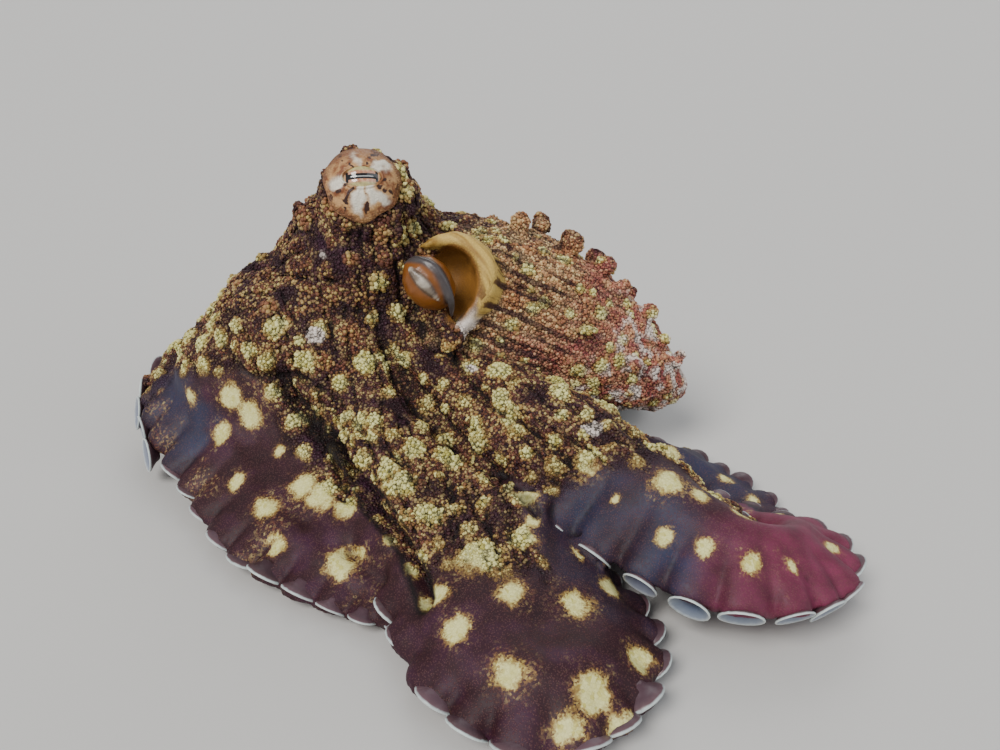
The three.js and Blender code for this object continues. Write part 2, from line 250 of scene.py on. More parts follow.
class Arm:
    """One arm: its route, and its size at each distance from the mouth."""

    def __init__(self, width, curl, free, granular, stations):
        self.width, self.free, self.granular = width, free, granular
        points = list(through([(0, 0, stations[0][2] + 4), *stations]))
        way = points[-1] - points[-2]
        heading = math.atan2(way[1], way[0])
        length, turn = curl
        for s in range(1, length + 1):
            heading += math.radians(turn) * ((s / length) ** 2 - ((s - 1) / length) ** 2)
            x, y, z = points[-1]
            points.append(np.array([x + math.cos(heading), y + math.sin(heading), z * 0.96]))
        self.route = np.array(points)
        self.length = len(points) - 1
        self.run = np.arange(self.length + 1.0)
        index = np.arange(self.length + 1)
        chord = (self.route[np.minimum(index + 4, self.length)]
                 - self.route[np.maximum(index - 4, 0)])
        self.heading = np.unwrap(np.arctan2(chord[:, 1], chord[:, 0]))
        bend = np.gradient(self.heading)
        self.bend = np.convolve(np.pad(bend, 6, mode="edge"), np.ones(13) / 13, "valid")
        self.suckers = {hand: self.sucker_line(hand) for hand in (-1, 1)}

    def width_at(self, s):
        share = ROOT_SHARE + (1 - ROOT_SHARE) * step(s, 30, 95)
        taper = 1 - np.clip(np.asarray(s) / self.length, 0, 1) ** 2
        return share * (TIP_WIDTH + (self.width - TIP_WIDTH) * taper)

    def outer_at(self, s):
        """How far the edge of the suckers reaches from the middle line."""
        return self.width_at(s) / 2 * (1 + 2 * FLARE_SHARE * step(s, 45, 100)) - 0.5

    def pitch_at(self, s):
        width = self.width_at(s)
        return np.minimum(np.minimum(0.3 * width + 5.5, 0.6 * width + 1.5), 14)

    def sucker_line(self, hand):
        """Where the suckers of one edge sit: a pitch apart, measured along that edge."""
        stops, s = [], 52 + 3 * hand
        while s < self.length - 3:
            stops.append(s)
            bend = float(np.interp(s, self.run, self.bend))
            stretch = min(max(1 - hand * bend * float(self.outer_at(s)), 0.6), 2.5)
            uneven = 1 + 0.14 * math.sin(2.1 * len(stops) + hand)
            s += float(self.pitch_at(s)) / stretch * uneven
        return np.array(stops)

    def lobe_at(self, s, hand):
        """1 at the middle of each lobe and 0 in the clefts, and 1 where that edge is loose."""
        right, left = (np.interp(s, self.suckers[side], np.arange(len(self.suckers[side])), left=0)
                       for side in (-1, 1))
        phase = (np.where(hand > 0, left, right) + 0.5) % 1
        start = np.where(hand > 0, self.free[1], self.free[0])
        loose = step(s, start - 8, start + 8)
        return np.sqrt(np.clip(1 - np.abs(2 * phase - 1) ** 3.4, 0, 1)) * loose, loose

    def at(self, s, side, rise):
        """The place at distance s, side to the left of the middle line and rise over the sole."""
        x, y, sole = (np.interp(s, self.run, self.route[:, k]) for k in range(3))
        angle = np.interp(s, self.run, self.heading)
        bend = np.interp(s, self.run, self.bend)
        room = 0.88 / np.maximum(np.abs(bend), 1e-4)  # the inside of a bend runs out of room
        side = np.where(side * bend > 0, np.sign(side) * np.minimum(np.abs(side), room), side)
        return np.stack([x - side * np.sin(angle), y + side * np.cos(angle), sole + rise], -1)

    def surface(self, start, end, lobed):
        """The arm's skin as a function of the shares along and around."""
        def place(along, around):
            s = start + (end - start) * along
            t = -np.cos(2 * np.pi * around)
            top = (around <= 0.501) | (around > 0.999)
            size = np.abs(t)
            lobe, loose = self.lobe_at(s, t)
            if not lobed:
                lobe, loose = 0 * s, 0 * s + 1
            pitch = self.pitch_at(s)
            tall = self.width_at(s) * HEIGHT_SHARE - 0.8 - COAT_DEPTH
            reach = self.outer_at(s) - 0.56 * pitch * loose * (1 - lobe * step(size, 0.5, 1))
            rim = pitch * (0.12 + 0.38 * lobe)
            dome = rim + (tall - rim) * (1 - size**2.1)
            foot = 0.5 + np.maximum(rim - 2.7, 0) * step(size, 0.6, 0.95)
            return self.at(s, t * reach, np.where(top, dome, foot))
        return place


LIMBS = {name: Arm(**values) for name, values in ARMS.items()}
LIMB_NAMES = list(LIMBS)


# ---- the skin's forms ----
def spine_at(t):
    a, b, c = (np.array(p, float) for p in MANTLE_SPINE)
    t = np.asarray(t, float)[..., None]
    return a * (1 - t) ** 2 + b * 2 * t * (1 - t) + c * t**2


def spine_ahead(t):
    a, b, c = (np.array(p, float) for p in MANTLE_SPINE)
    t = np.asarray(t, float)[..., None]
    return unit((b - a) * (1 - t) + (c - b) * t)


def sac_radius(t):
    share = MANTLE_NECK + (1 - MANTLE_NECK) * np.asarray(t)
    return MANTLE_RADIUS * np.sin(np.pi * np.clip(share, 0, 1)) ** 0.62


def sac(along, around):
    t = np.sin(along * np.pi / 2) ** 1.15
    ahead = spine_ahead(t)
    across = unit(np.cross([0, 0, 1.0], ahead))
    back = np.cross(ahead, across)
    angle = 2 * np.pi * around[:, None]
    r = sac_radius(t)[:, None]
    return spine_at(t) + across * np.cos(angle) * r + back * np.sin(angle) * r * 0.94


def swept(stops, radii, along=60, around=14):
    """A closed tube along a smooth curve through the stops, its radius eased between the radii."""
    line = through(stops)
    share = np.linspace(0, 1, len(line))
    ahead = unit(np.gradient(line, axis=0))

    def place(u, v):
        centre = np.stack([np.interp(u, share, line[:, k]) for k in range(3)], 1)
        way = unit(np.stack([np.interp(u, share, ahead[:, k]) for k in range(3)], 1))
        side = unit(np.cross(way, [0.3, -1, 0.2]))
        up = np.cross(side, way)
        size = np.interp(u, np.linspace(0, 1, len(radii)), radii)[:, None]
        angle = 2 * np.pi * v[:, None]
        return centre + side * np.cos(angle) * size + up * np.sin(angle) * size
    return rolled(along, around, place)


# the collar of the mantle's opening: its line runs from the head, up and over, and down
RIM = ((33, -24, 86), (38, -25.5, 89), (44, -26, 90), (50, -27.5, 88), (55, -30.5, 82.5),
       (55.5, -33, 76.5), (52.5, -36.5, 70.5), (48.5, -38.5, 65), (45.5, -39, 59))
RIM_RADII = (1.4, 2.8, 4.0, 4.6, 4.8, 4.4, 3.6, 2.6, 1.4)
RIM_REACH = ((0, 0.12, 0.3, 0.6, 0.8, 1), (0.1, 0.6, 1, 1, 0.5, 0.2))  # its breadth along it
POCKET = ((42.5, -35, 77.5), (9.8, 15.0, 11.5))
FOLDED_NODE = "arm_left_2_middle"  # its tongue of folded arm is taken over from the solid


def trunk():
    """Crown, head, eye domes, mantle, webs and the roots of the arms, melted into one form."""
    forms = [ball(*CROWN), ball(*HEAD), rolled(60, 48, sac), *(ball(*form) for form in FLESH)]
    for centre, radius, _ in TURRETS.values():
        forms.append(ball(centre, (radius + 1.3,) * 3))
    for arm in LIMBS.values():
        forms.append(rolled(int(arm.length * 0.4), 32, arm.surface(20, arm.length * 0.75, False)))
    for name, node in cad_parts.items():
        if name.startswith("web_") or name == FOLDED_NODE:
            web = bmesh.new()
            web.from_mesh(node.data)
            bmesh.ops.scale(web, verts=web.verts, vec=Vector((1, 1, 1)) / MM)
            bmesh.ops.remove_doubles(web, verts=web.verts, dist=0.01)
            if name == FOLDED_NODE:  # drawn in, so that the lobes along its edge stand free
                middle = sum((v.co for v in web.verts), Vector()) / len(web.verts)
                bmesh.ops.translate(web, verts=web.verts, vec=-middle)
                bmesh.ops.scale(web, verts=web.verts, vec=(0.91, 0.91, 0.98))
                bmesh.ops.translate(web, verts=web.verts, vec=middle)
            forms.append(web)
    body = joined("trunk", forms)
    bake(body, "REMESH", mode="VOXEL", voxel_size=TRUNK_GRAIN)
    bake(body, "SMOOTH", factor=0.5, iterations=30)
    return body


def cut(piece, bm):
    tool = new_object("cutter", bm)
    bake(piece, "BOOLEAN", operation="DIFFERENCE", object=tool, solver="FAST")
    drop(tool)


def make_skin():
    body = trunk()
    bm = swept(RIM, RIM_RADII)
    bm.from_mesh(body.data)
    bm.to_mesh(body.data)
    bm.free()
    bake(body, "REMESH", mode="VOXEL", voxel_size=RIM_GRAIN)
    bake(body, "SMOOTH", factor=0.5, iterations=7)
    cut(body, ball(*POCKET))
    whole = bmesh.new()
    whole.from_mesh(body.data)
    drop(body)
    arms = [rolled(int(arm.length / 1.3), 64, arm.surface(36, arm.length, True))
            for arm in LIMBS.values()]
    knobs = [ball(place, (radius,) * 3, 3) for place, radius in KNOBS]
    skin = joined("skin", [whole, *arms, *knobs])
    bake(skin, "REMESH", mode="VOXEL", voxel_size=SKIN_GRAIN)
    bake(skin, "SMOOTH", factor=0.5, iterations=3)
    return skin


# ---- where things lie on the skin ----
def nearest_of(points, centres):
    tree = kdtree.KDTree(len(centres))
    for i, c in enumerate(centres):
        tree.insert(c, i)
    tree.balance()
    found = [tree.find(p) for p in points]
    return np.array([f[1] for f in found]), np.array([f[2] for f in found])


def arm_places(points):
    """For each point the nearest arm's number, and how far along it and to its left it is."""
    line, owner, run = [], [], []
    for k, arm in enumerate(LIMBS.values()):
        middle = arm.route + np.stack([0 * arm.run, 0 * arm.run, arm.width_at(arm.run) * 0.3], 1)
        line.append(middle)
        owner.append(np.full(len(middle), k))
        run.append(arm.run)
    line, owner, run = np.vstack(line), np.concatenate(owner), np.concatenate(run)
    near, _ = nearest_of(points, line)
    owner, run = owner[near], run[near]
    side = np.zeros(len(points))
    for k, arm in enumerate(LIMBS.values()):
        mine = owner == k
        s = run[mine]
        x, y = np.interp(s, arm.run, arm.route[:, 0]), np.interp(s, arm.run, arm.route[:, 1])
        angle = np.interp(s, arm.run, arm.heading)
        side[mine] = (points[mine, 1] - y) * np.cos(angle) - (points[mine, 0] - x) * np.sin(angle)
    return owner, run, side


def sac_places(points):
    """For each point the share along the mantle, and how surely it lies on the mantle's wall."""
    t = np.linspace(0, 1, 120)
    near, gap = nearest_of(points, spine_at(t))
    share, depth = t[near], gap - sac_radius(t[near])
    return share, step(depth, -7, -3) * step(share, 0.12, 0.3) * (1 - step(depth, 3, 8))


def lie_of(points, s, side, share, on_sac):
    """How far along, and how far round, its arm or the mantle each point lies."""
    spine = spine_at(share)
    turn = np.arctan2(points[:, 2] - spine[:, 2], points[:, 1] - spine[:, 1])
    return np.where(on_sac > 0.5, share * 70, s), np.where(on_sac > 0.5, turn * 30, side)


def near_line(points, stops):
    """The distance of each point from the smooth line through the stops, and the share along it."""
    line = through(stops)
    near, gap = nearest_of(points, line)
    return gap, near / (len(line) - 1)


def rim_places(points):
    """For each point the distance from the collar, the share along it and its breadth there."""
    distance, run = near_line(points, RIM)
    return distance, run, np.interp(run, *RIM_REACH)


def beside_line(points, out, stops):
    """The distance of each place on the skin to the side of the line, and the share along it."""
    line = through(stops)
    near, gap = nearest_of(points, line)
    away = points - line[near]
    away -= out * (away * out).sum(1)[:, None]
    beside = np.where(gap < 14, np.linalg.norm(away, axis=1), gap)
    return beside, near / (len(line) - 1)


# ---- the skin's relief ----
FURROWS = (  # line, depth and width: the deep fold between the two nearest arms, then lesser ones
    (((-19, -39, 49), (-8, -44, 37), (6, -59, 28), (17, -83, 26), (28, -98, 24), (35, -113, 21),
      (38, -122, 18)), 6.5, 2.6),
    (((16, -33, 62), (30, -46, 47), (46, -67, 37), (60, -83, 33), (71, -98, 31)), 2.8, 1.7),
    (((36, -31, 59), (54, -58, 50), (66, -71, 46), (78, -84, 40)), 2.0, 1.5),
    (((-40, -24, 56), (-26, -36, 45), (-8, -41, 46), (14, -58, 36), (30, -76, 33)), 1.8, 1.5))
KNOBS = (  # place and radius of the tall papillae: brow, cheek and along the back of the mantle
    ((29.6, -22, 104.5), 4.3), ((30.5, -23, 99.5), 3.3), ((25, -26, 93), 3.0), ((-8, -11, 95), 4.4),
    ((86, -5, 83), 4.4), ((84, -6, 79), 3.0), ((98, -6, 74.5), 3.4), ((103, -12, 67), 3.0),
    ((115, -9, 58), 2.8), ((120, -13, 48), 2.4), ((125, -16, 41), 2.2), ((67, -6, 90), 3.6),
    ((76, 14, 84), 3.8), ((96, 10, 72), 3.2), ((108, -30, 46), 2.4), ((92, -33, 60), 2.6),
    ((110, 12, 58), 3.0), ((128, -4, 38), 2.4), ((44, -42, 60), 4.4), ((41, -41, 66), 3.4))
WHITE_DOTS = ((0, -29, 86), (-2, -37, 60), (50, -48, 54), (88, -72, 44))
MOUND_SPACING = 7.6
FOLD_SMOOTH = -117  # in front of this the folded arm is smooth all over


def rough_part(points, arm_number, s, side):
    """How far each place is granular, like the head, rather than smooth, like the arms."""
    s = s + field(points, 14) * 9
    side = side + field(points, 30) * 5
    start = np.array([arm.granular for arm in LIMBS.values()])[arm_number]
    near_fold = step(points[:, 1] + field(points, 9) * 6, FOLD_SMOOTH - 6, FOLD_SMOOTH + 6)
    s = s - 9 * np.clip(side - 5, 0, 16) - 3 * np.clip(points[:, 2] - 36, 0, 20)
    return (1 - step(s, start - 20, start + 8)) * near_fold


def relief(skin):
    """Mounds, furrows and wrinkles, moved into the skin along its normals."""
    p, n = places(skin), normals(skin)
    number, s, side = arm_places(p)
    share, on_sac = sac_places(p)
    in_pocket = step(-pocket_distance(p), -0.12, 0.0)
    rim_distance, _, rim_reach = rim_places(p)
    smooth_zone = np.maximum(in_pocket, 1 - step(rim_distance / rim_reach, 4, 7.5))
    smooth_zone = np.maximum(smooth_zone, dome_share(p))
    rough = rough_part(p, number, s, side) * (1 - smooth_zone)
    rough = np.maximum(rough, on_sac * (1 - smooth_zone))
    shift = np.zeros(len(p))

    # furrows run along the arms, and back from the rim over the mantle
    along, over = lie_of(p, s, side, share, on_sac)
    lines = np.stack([along / 34, over / 5.5, number * 9.0 * (on_sac < 0.5)], 1)
    wave = field(lines, 1.0, 3.1, 2)
    shift -= np.exp(-((wave / 0.13) ** 2)) * (0.5 + 1.3 * (1 - on_sac)) * rough
    fine = np.stack([along / 22, over / 2.1, number * 5.0], 1)
    shift += field(fine, 1.0, 7.7, 2) * 0.55 * (on_sac * (1 - step(share, 0.4, 0.8)) + 0.25)
    for stops, deep, wide in FURROWS:
        beside, run = beside_line(p, n, stops)
        shift -= deep * np.exp(-((beside / wide) ** 2)) * step(run, 0.0, 0.12)

    shift -= 2.6 * dome_share(p)  # the eyelids stand in a shallow bed

    # low swellings, then mounds, each with its own height
    shift += field(p, 17, 1.3) * 1.5 * rough + field(p, 26, 5.3) * 0.9
    where = np.flatnonzero(rough > 0.45)
    size = 1 - 0.3 * on_sac[where] + 0.25 * field(p[where], 20, 6.0)
    centres, reach = spot_places()
    spot, gap = nearest_of(centres, p)
    raised = (rough[spot] > 0.4) & (gap < 12)
    picked = where[spread(p[where], MOUND_SPACING * size)]
    near, gap = nearest_of(p[picked], p[spot[raised]])
    picked = picked[gap > reach[raised][near] + 2.0]
    radius = RNG.uniform(2.3, 4.6, len(picked)) * (1 - 0.3 * on_sac[picked])
    height = radius * RNG.uniform(0.2, 0.6, len(picked)) * (1 - 0.25 * on_sac[picked])
    picked = np.concatenate([spot[raised], picked])
    radius = np.concatenate([reach[raised] * 0.95, radius])
    height = np.concatenate([reach[raised] * RNG.uniform(0.25, 0.6, raised.sum()), height])
    nearest, gap = nearest_of(p, p[picked])
    gap = gap / radius[nearest] + field(p, 3.0, 2.2) * 0.22
    bump = np.clip(1 - gap**2, 0, 1) ** 1.5 * rough
    shift += bump * height[nearest]
    move(skin, p + n * shift[:, None])
    return p[picked], radius, int(raised.sum())


def dome_share(points):
    """1 on the smooth part of the domes round the eyes."""
    share = np.zeros(len(points))
    for centre, radius, look in TURRETS.values():
        off = np.linalg.norm(points - centre, axis=1)
        tilt = np.degrees(np.arccos(np.clip(unit(points - centre) @ unit(look), -1, 1)))
        covered = 1 - step(tilt, LID_REACH - 8, LID_REACH + 3)
        share = np.maximum(share, (1 - step(off, radius + 1.6, radius + 3)) * covered)
    return share


def pocket_distance(points):
    """Below 0 inside the mantle's opening, as a share of its size."""
    centre, radii = POCKET
    return np.linalg.norm((points - centre) / radii, axis=1) - 1


def flatten(piece):
    p = places(piece)
    p[:, 2] = np.maximum(p[:, 2], 0.05)
    move(piece, p)


def thin(piece, triangles):
    """Thins the mesh to this many triangles, keeping the head and the near side finer."""
    p = places(piece)
    keep = 0.35 + 0.65 * step(-p[:, 1], -10, 40) + 0.3 * step(p[:, 2], 2, 8)
    group = piece.vertex_groups.new(name="coarser")
    for level in range(8):
        some = np.flatnonzero(np.minimum((keep * 6).astype(int), 7) == level)
        group.add(some.tolist(), 1 - level / 8, "REPLACE")
    count = sum(len(face.vertices) - 2 for face in piece.data.polygons)
    if count > triangles:
        bake(piece, "DECIMATE", ratio=triangles / count, vertex_group="coarser",
             vertex_group_factor=1.0)
    bake(piece, "TRIANGULATE")
    piece.vertex_groups.clear()


# ---- markings ----
SPOTS = (  # pale spots of the near arms, then patches of the cloak: x, y, z and radius
    (-51, -29, 33, 3.4), (-38.5, -42, 25, 3.6),
    (-29, -61, 19, 3.3), (-14.6, -75.4, 17.5, 4.6), (-10, -90, 14, 3.3), (-33, -34, 36, 4.6),
    (-27, -40, 32, 5.0), (-14, -52.5, 24.4, 2.4), (-4, -68.7, 20, 4.8), (3, -73, 20, 5.6),
    (11.7, -79.8, 21, 4.0), (12.6, -99, 13, 5.0), (27, -98, 23, 2.8),
    (12.8, -74, 27, 2.6), (-9.5, -44.7, 31, 3.0), (-18.5, -41, 40.6, 3.2), (-60.7, -8.3, 42, 4.8),
    (-46.8, -19.7, 50, 3.6), (-26.7, -36.5, 53.5, 3.6), (-5.6, -41, 52, 4.2), (15, -39.5, 51, 4.4),
    (26.4, -40.4, 53.4, 3.6), (34, -72, 37, 4.4), (23, -78.6, 34, 5.2), (29, -85, 32, 5.4),
    (42.8, -72.6, 35, 4.6), (38.7, -96, 28.5, 4.2), (42.5, -121.6, 20.6, 3.6),
    (47.6, -134.3, 19.5, 4.3), (36.7, -109.6, 23.3, 2.6), (7.2, -53.5, 37.5, 3.4),
    (18.3, -61, 41.5, 3.4), (62, -148.6, 18.5, 4.9), (83.6, -152.4, 15.7, 5.2),
    (98, -136.7, 12.4, 4.4), (79.5, -123.7, 14.6, 4.8), (54.4, -111.2, 23.8, 6.4),
    (63.5, -124, 22.5, 4.2), (66.2, -106, 27.5, 4.4), (84.6, -85.2, 41.5, 4.8),
    (66.8, -91, 32.2, 3.6), (91, -113, 14.8, 4.0), (89, -157, 6, 4.0), (76, -159, 9, 4.2),
    (105, -110, 31.3, 2.8), (115.7, -114.6, 31, 3.2), (129, -118.7, 29, 3.4),
    (141.6, -116.2, 27, 2.4),
    (91.6, -97.3, 36, 1.7), (108.5, -94.3, 38.4, 4.8), (117.2, -98, 36.4, 3.0),
    (129.6, -99.6, 31.7, 3.6), (146.5, -55.8, 8, 2.6), (121.7, -37.2, 15.7, 3.2),
    (106.4, -76.4, 41, 2.4), (139.6, -46, 10.6, 2.6), (69.4, -101, 29.8, 2.6),
    (80.3, -104.4, 14.2, 2.6), (35, -72.4, 37, 3.2), (45.4, -74.7, 34.6, 4.2),
    (60, -49, 52.6, 4.2), (79.8, -49, 49, 4.6), (95.8, -55, 44.5, 4.2), (61.6, -67.3, 47.2, 3.4),
    (50.5, -64.8, 42.4, 3.6), (90.8, -31.5, 59.6, 3.0), (75, -32, 70.7, 2.8))
PAINTED_SHEEN_PLACES = (  # places where a blue-grey sheen is painted on the arms, and how far it reaches
    (90, -102, 33, 34), (98, -114, 26, 22), (-62, -20, 32, 26), (-54, -34, 24, 18),
    (132, -44, 12, 34))
SPOT_PITCH = 24  # along the arms whose spots aren't listed
LIE = 500  # mm of skin that the marks for the lie of its streaks span


def spot_places():
    """Centres and radii of all the spots: those of the far arms are set out along their routes."""
    centres, radii = [spot[:3] for spot in SPOTS], [spot[3] for spot in SPOTS]
    for name, arm in LIMBS.items():
        first = arm.granular + 6 if name.startswith("right") else arm.length * 0.6
        for i, s in enumerate(np.arange(first, arm.length - 25, SPOT_PITCH / 2)):
            side = (0.34 if i % 2 else -0.34) * arm.width_at(s)
            rise = arm.width_at(s) * HEIGHT_SHARE * 0.75
            place = arm.at(np.array(s), np.array(side), np.array(rise))
            if np.linalg.norm(np.array(centres) - place, axis=1).min() > 14:
                centres.append(place)
                radii.append(3.6 * arm.width_at(s) / arm.width + 0.6)
    return np.array(centres), np.array(radii)


def inside_spots(points, out):
    """How far each place is from the nearest spot's middle, as a share of the spot's radius."""
    inside = np.full(len(points), 9.0)
    for centre, radius in zip(*spot_places()):
        near = np.flatnonzero(np.abs(points - centre).max(1) < 18)
        away = points[near] - centre
        rise = (away * out[near]).sum(1)
        away -= out[near] * rise[:, None]
        share = np.linalg.norm(away, axis=1) / radius + 9 * (np.abs(rise) > 8)
        inside[near] = np.minimum(inside[near], share)
    return inside


def markings(skin, mounds, mound_radii, listed):
    """What the finish of the skin and of its coat reads at each place."""
    p, n = places(skin), normals(skin)
    number, s, side = arm_places(p)
    share, on_sac = sac_places(p)
    wobble, broad, mottle = field(p, 9, 4.4), field(p, 30, 8.8), field(p, 4.5, 5.9)
    pocket = 1 - step(pocket_distance(p), 0.0, 0.1 + 0.16 * step(p[:, 0], 41, 46))
    below_funnel = (1 - step(p[:, 2], 71, 74)) * (1 - step(p[:, 0], 41, 44))
    pocket *= 1 - below_funnel
    rim_distance, rim_run, rim_reach = rim_places(p)
    rim = (1 - step((rim_distance + 1.5 * wobble) / rim_reach, 5.0, 9.0)) * (1 - pocket)
    dome = dome_share(p)
    rough = rough_part(p, number, s, side)
    rough = np.maximum(rough, on_sac) * (1 - pocket) * (1 - rim) * (1 - step(dome, 0.5, 1))

    # the mounds: pale, orange or dull, with more orange ones on the head and the mantle
    which, gap = nearest_of(p, mounds)
    kind = RNG.random(len(mounds))
    kind[:listed] = 0.6
    x, y, z = mounds.T
    rosette = step(z, 58, 70) * (1 - step(x, 12, 26)) * step(-y, 2, 16)
    sac_mound = step(x, 62, 80) * step(z + y * 0.6, 18, 30)
    low_mound = step(-y, 34, 52)
    is_orange = kind < 0.2 + 0.35 * rosette + 0.2 * sac_mound - 0.12 * low_mound
    is_dull = (kind > 0.78 - 0.36 * rosette) & ~is_orange
    swell = step(-gap / mound_radii[which] + 0.35 * wobble, -1.3, -0.35)
    paleness = np.where(is_orange | is_dull, 0.1 + 0.45 * low_mound, 0.58 + 0.5 * kind)
    cream = swell * rough * paleness[which]
    orange = swell * rough * is_orange[which]
    tan = rough * np.clip(0.38 + 0.5 * wobble + 0.3 * broad + 0.45 * swell + 0.35 * on_sac, 0, 1)

    # the spots, each with a speckled glow round it
    inside = inside_spots(p, n) + 0.2 * wobble + 0.4 * field(p, 4.5, 3.7)
    facing = step(n[:, 2], -0.1, 0.25)
    cream = np.maximum(cream, (1 - step(inside, 0.3, 1.3)) * facing)
    glow = (1 - step(inside, 0.6, 2.8)) * facing * (0.7 + 0.3 * broad)
    patches = (1 - rough) * step(broad + 0.4 * wobble, 0.1, 0.7) * 0.6
    tan = np.maximum(tan, np.maximum(glow * 0.85, patches))
    _, gap = nearest_of(p, np.array(WHITE_DOTS, float))
    pale = 1 - step(gap + wobble, 2.0, 3.6)

    # the mantle turns crimson, then pale, towards its tip and its underside
    under = step(-(p[:, 2] - spine_at(share)[:, 2]) / 20, 0.1, 0.9)
    pale = np.maximum(pale, on_sac * step(share + 0.35 * under + 0.25 * wobble, 0.85, 1.25) * 0.8)
    mottled = step(share + 0.35 * under, 0.5, 0.85) * step(mottle, -0.15, 0.4)
    pale = np.maximum(pale, on_sac * mottled * 0.75)
    red = on_sac * step(share + 0.45 * under + 0.25 * broad, 0.34, 0.76)
    is_left_3 = number == LIMB_NAMES.index("left_3")
    red = np.maximum(red, is_left_3 * step(s, 145, 185) * (1 - rough) * 0.6)
    # a painted blue-grey sheen on parts of the smooth arms, kept off the granular skin, the domes,
    # the collar and the opening
    blue = np.zeros(len(p))
    for *centre, reach in PAINTED_SHEEN_PLACES:
        blue = np.maximum(blue, 1 - step(np.linalg.norm(p - centre, axis=1) + 6 * wobble, 8, reach))
    blue *= (1 - rough) * (1 - dome) * (1 - rim) * (1 - pocket)

    # painted shade: the hollows and the furrows are darkened where shade would fall in them
    smoother = copy_of(skin)
    bake(smoother, "SMOOTH", factor=0.5, iterations=14)
    hollow = ((places(smoother) - p) * n).sum(1)
    drop(smoother)
    dark = step(hollow, 0.12, 0.9)
    for stops, deep, wide in FURROWS:
        beside, run = beside_line(p, n, stops)
        in_line = (1 - step(beside, wide * 0.4, wide * 1.4)) * step(run, 0, 0.1)
        dark = np.maximum(dark, in_line * min(deep / 4, 1))
    lie_along, lie_over = lie_of(p, s, side, share, on_sac)
    lie_over = lie_over + number * 31.0 * (on_sac < 0.5)
    warm = np.clip(0.25 + 0.8 * wobble + 0.5 * step(share, 0.3, 0.6), 0, 0.8)
    orange = np.maximum(orange, on_sac * warm * (1 - red * 0.7))
    yellow_rim = rim * (1 - step(rim_run, 0.7, 0.9))
    pale = np.maximum(pale, (1 - step(rim_distance, 2.5, 4.5)) * step(rim_run, 0.6, 0.8) * 0.9)
    return dict(rough=rough, tan=tan, cream=cream, orange=orange, pale=pale, red=red, blue=blue,
                dark=dark, pocket=pocket, rim=yellow_rim, dome=dome,
                sac=on_sac, ray=on_sac * (1 - step(share + 0.2 * wobble, 0.45, 0.75)),
                lie_along=lie_along / LIE, lie_over=0.3 + lie_over / LIE)


def write_marks(piece, marks):
    for name, values in marks.items():
        layer = piece.data.attributes.new(name, "FLOAT", "POINT")
        layer.data.foreach_set("value", np.clip(values, 0, 1).astype(np.float32))


# ---- many small things as joined meshes ----
def arrays(bm):
    """A small shape's vertices and its triangles as arrays."""
    bmesh.ops.triangulate(bm, faces=bm.faces)
    bm.verts.index_update()
    verts = np.array([v.co[:] for v in bm.verts])
    faces = np.array([[v.index for v in f.verts] for f in bm.faces])
    bm.free()
    return verts, faces


def repeated(name, verts, faces, spots):
    """One mesh of many copies of a shape; spots (n, 4, 3) hold each copy's axes and place."""
    turned = np.einsum("vk,nkj->nvj", verts, spots[:, :3]) + spots[:, None, 3]
    every = faces[None] + (np.arange(len(spots)) * len(verts))[:, None, None]
    mesh = bpy.data.meshes.new(name)
    mesh.from_pydata(turned.reshape(-1, 3).tolist(), [], every.reshape(-1, 3).tolist())
    return shown(name, mesh)


def axes(normal, turn):
    """Two directions square to each normal, turned about it, and the normal."""
    normal = unit(normal)
    helper = np.where(np.abs(normal[:, 2:]) > 0.9, [[1.0, 0, 0]], [[0, 0, 1.0]])
    a = unit(np.cross(helper, normal))
    b = np.cross(normal, a)
    c, s = np.cos(turn)[:, None], np.sin(turn)[:, None]
    return np.stack([a * c + b * s, b * c - a * s, normal], 1)


# ---- the coat of granules ----
def unwrap(skin):
    """A light copy of the skin, unwrapped, with a tree to find its faces by."""
    proxy = copy_of(skin)
    bake(proxy, "DECIMATE", ratio=0.1)
    bake(proxy, "TRIANGULATE")
    bpy.ops.object.select_all(action="DESELECT")
    bpy.context.view_layer.objects.active = proxy
    proxy.select_set(True)
    bpy.ops.object.mode_set(mode="EDIT")
    bpy.ops.mesh.select_all(action="SELECT")
    bpy.ops.uv.smart_project(angle_limit=math.radians(66), island_margin=0.004)
    bpy.ops.object.mode_set(mode="OBJECT")
    p = places(proxy)
    corners = np.array([face.vertices[:] for face in proxy.data.polygons])
    uv = np.empty(len(proxy.data.loops) * 2)
    proxy.data.uv_layers[0].data.foreach_get("uv", uv)
    drop(proxy)
    return BVHTree.FromPolygons(p.tolist(), corners.tolist()), p, corners, uv.reshape(-1, 3, 2)


def uv_of(points, proxy):
    """Where each point lies on the unwrap."""
    tree, p, corners, uv = proxy
    hit = [tree.find_nearest(Vector(q)) for q in points]
    face = np.array([h[2] for h in hit])
    a, b, c = (p[corners[face, k]] for k in range(3))
    at = np.array([h[0][:] for h in hit]) - a
    u, v = b - a, c - a
    uu, uv_, vv = (u * u).sum(1), (u * v).sum(1), (v * v).sum(1)
    au, av = (at * u).sum(1), (at * v).sum(1)
    scale = np.maximum(uu * vv - uv_**2, 1e-12)
    second, third = (vv * au - uv_ * av) / scale, (uu * av - uv_ * au) / scale
    weights = np.stack([1 - second - third, second, third], 1)
    return (uv[face] * weights[..., None]).sum(1)


PATCH = 0.003  # the width of each granule's patch in the unwrap


def sown(points, spacing):
    """Picks points about their spacing apart: one per small cell, then again in turned cells."""
    kept = np.arange(len(points))
    for turn in (0.9, 2.3):
        turned = points[kept] @ np.array(Matrix.Rotation(turn, 3, Vector((1, 2, 3))))
        cells = np.floor(turned / spacing[kept, None])
        cells = np.concatenate([cells, spacing[kept, None]], 1)
        _, first = np.unique(cells, axis=0, return_index=True)
        kept = kept[first]
    return kept


def granule_shape():
    """A low dome, closed underneath."""
    bm = bmesh.new()
    bmesh.ops.create_uvsphere(bm, u_segments=5, v_segments=4, radius=1)
    bmesh.ops.delete(bm, geom=[v for v in bm.verts if v.co.z < -0.1], context="VERTS")
    return arrays(closed(bm))


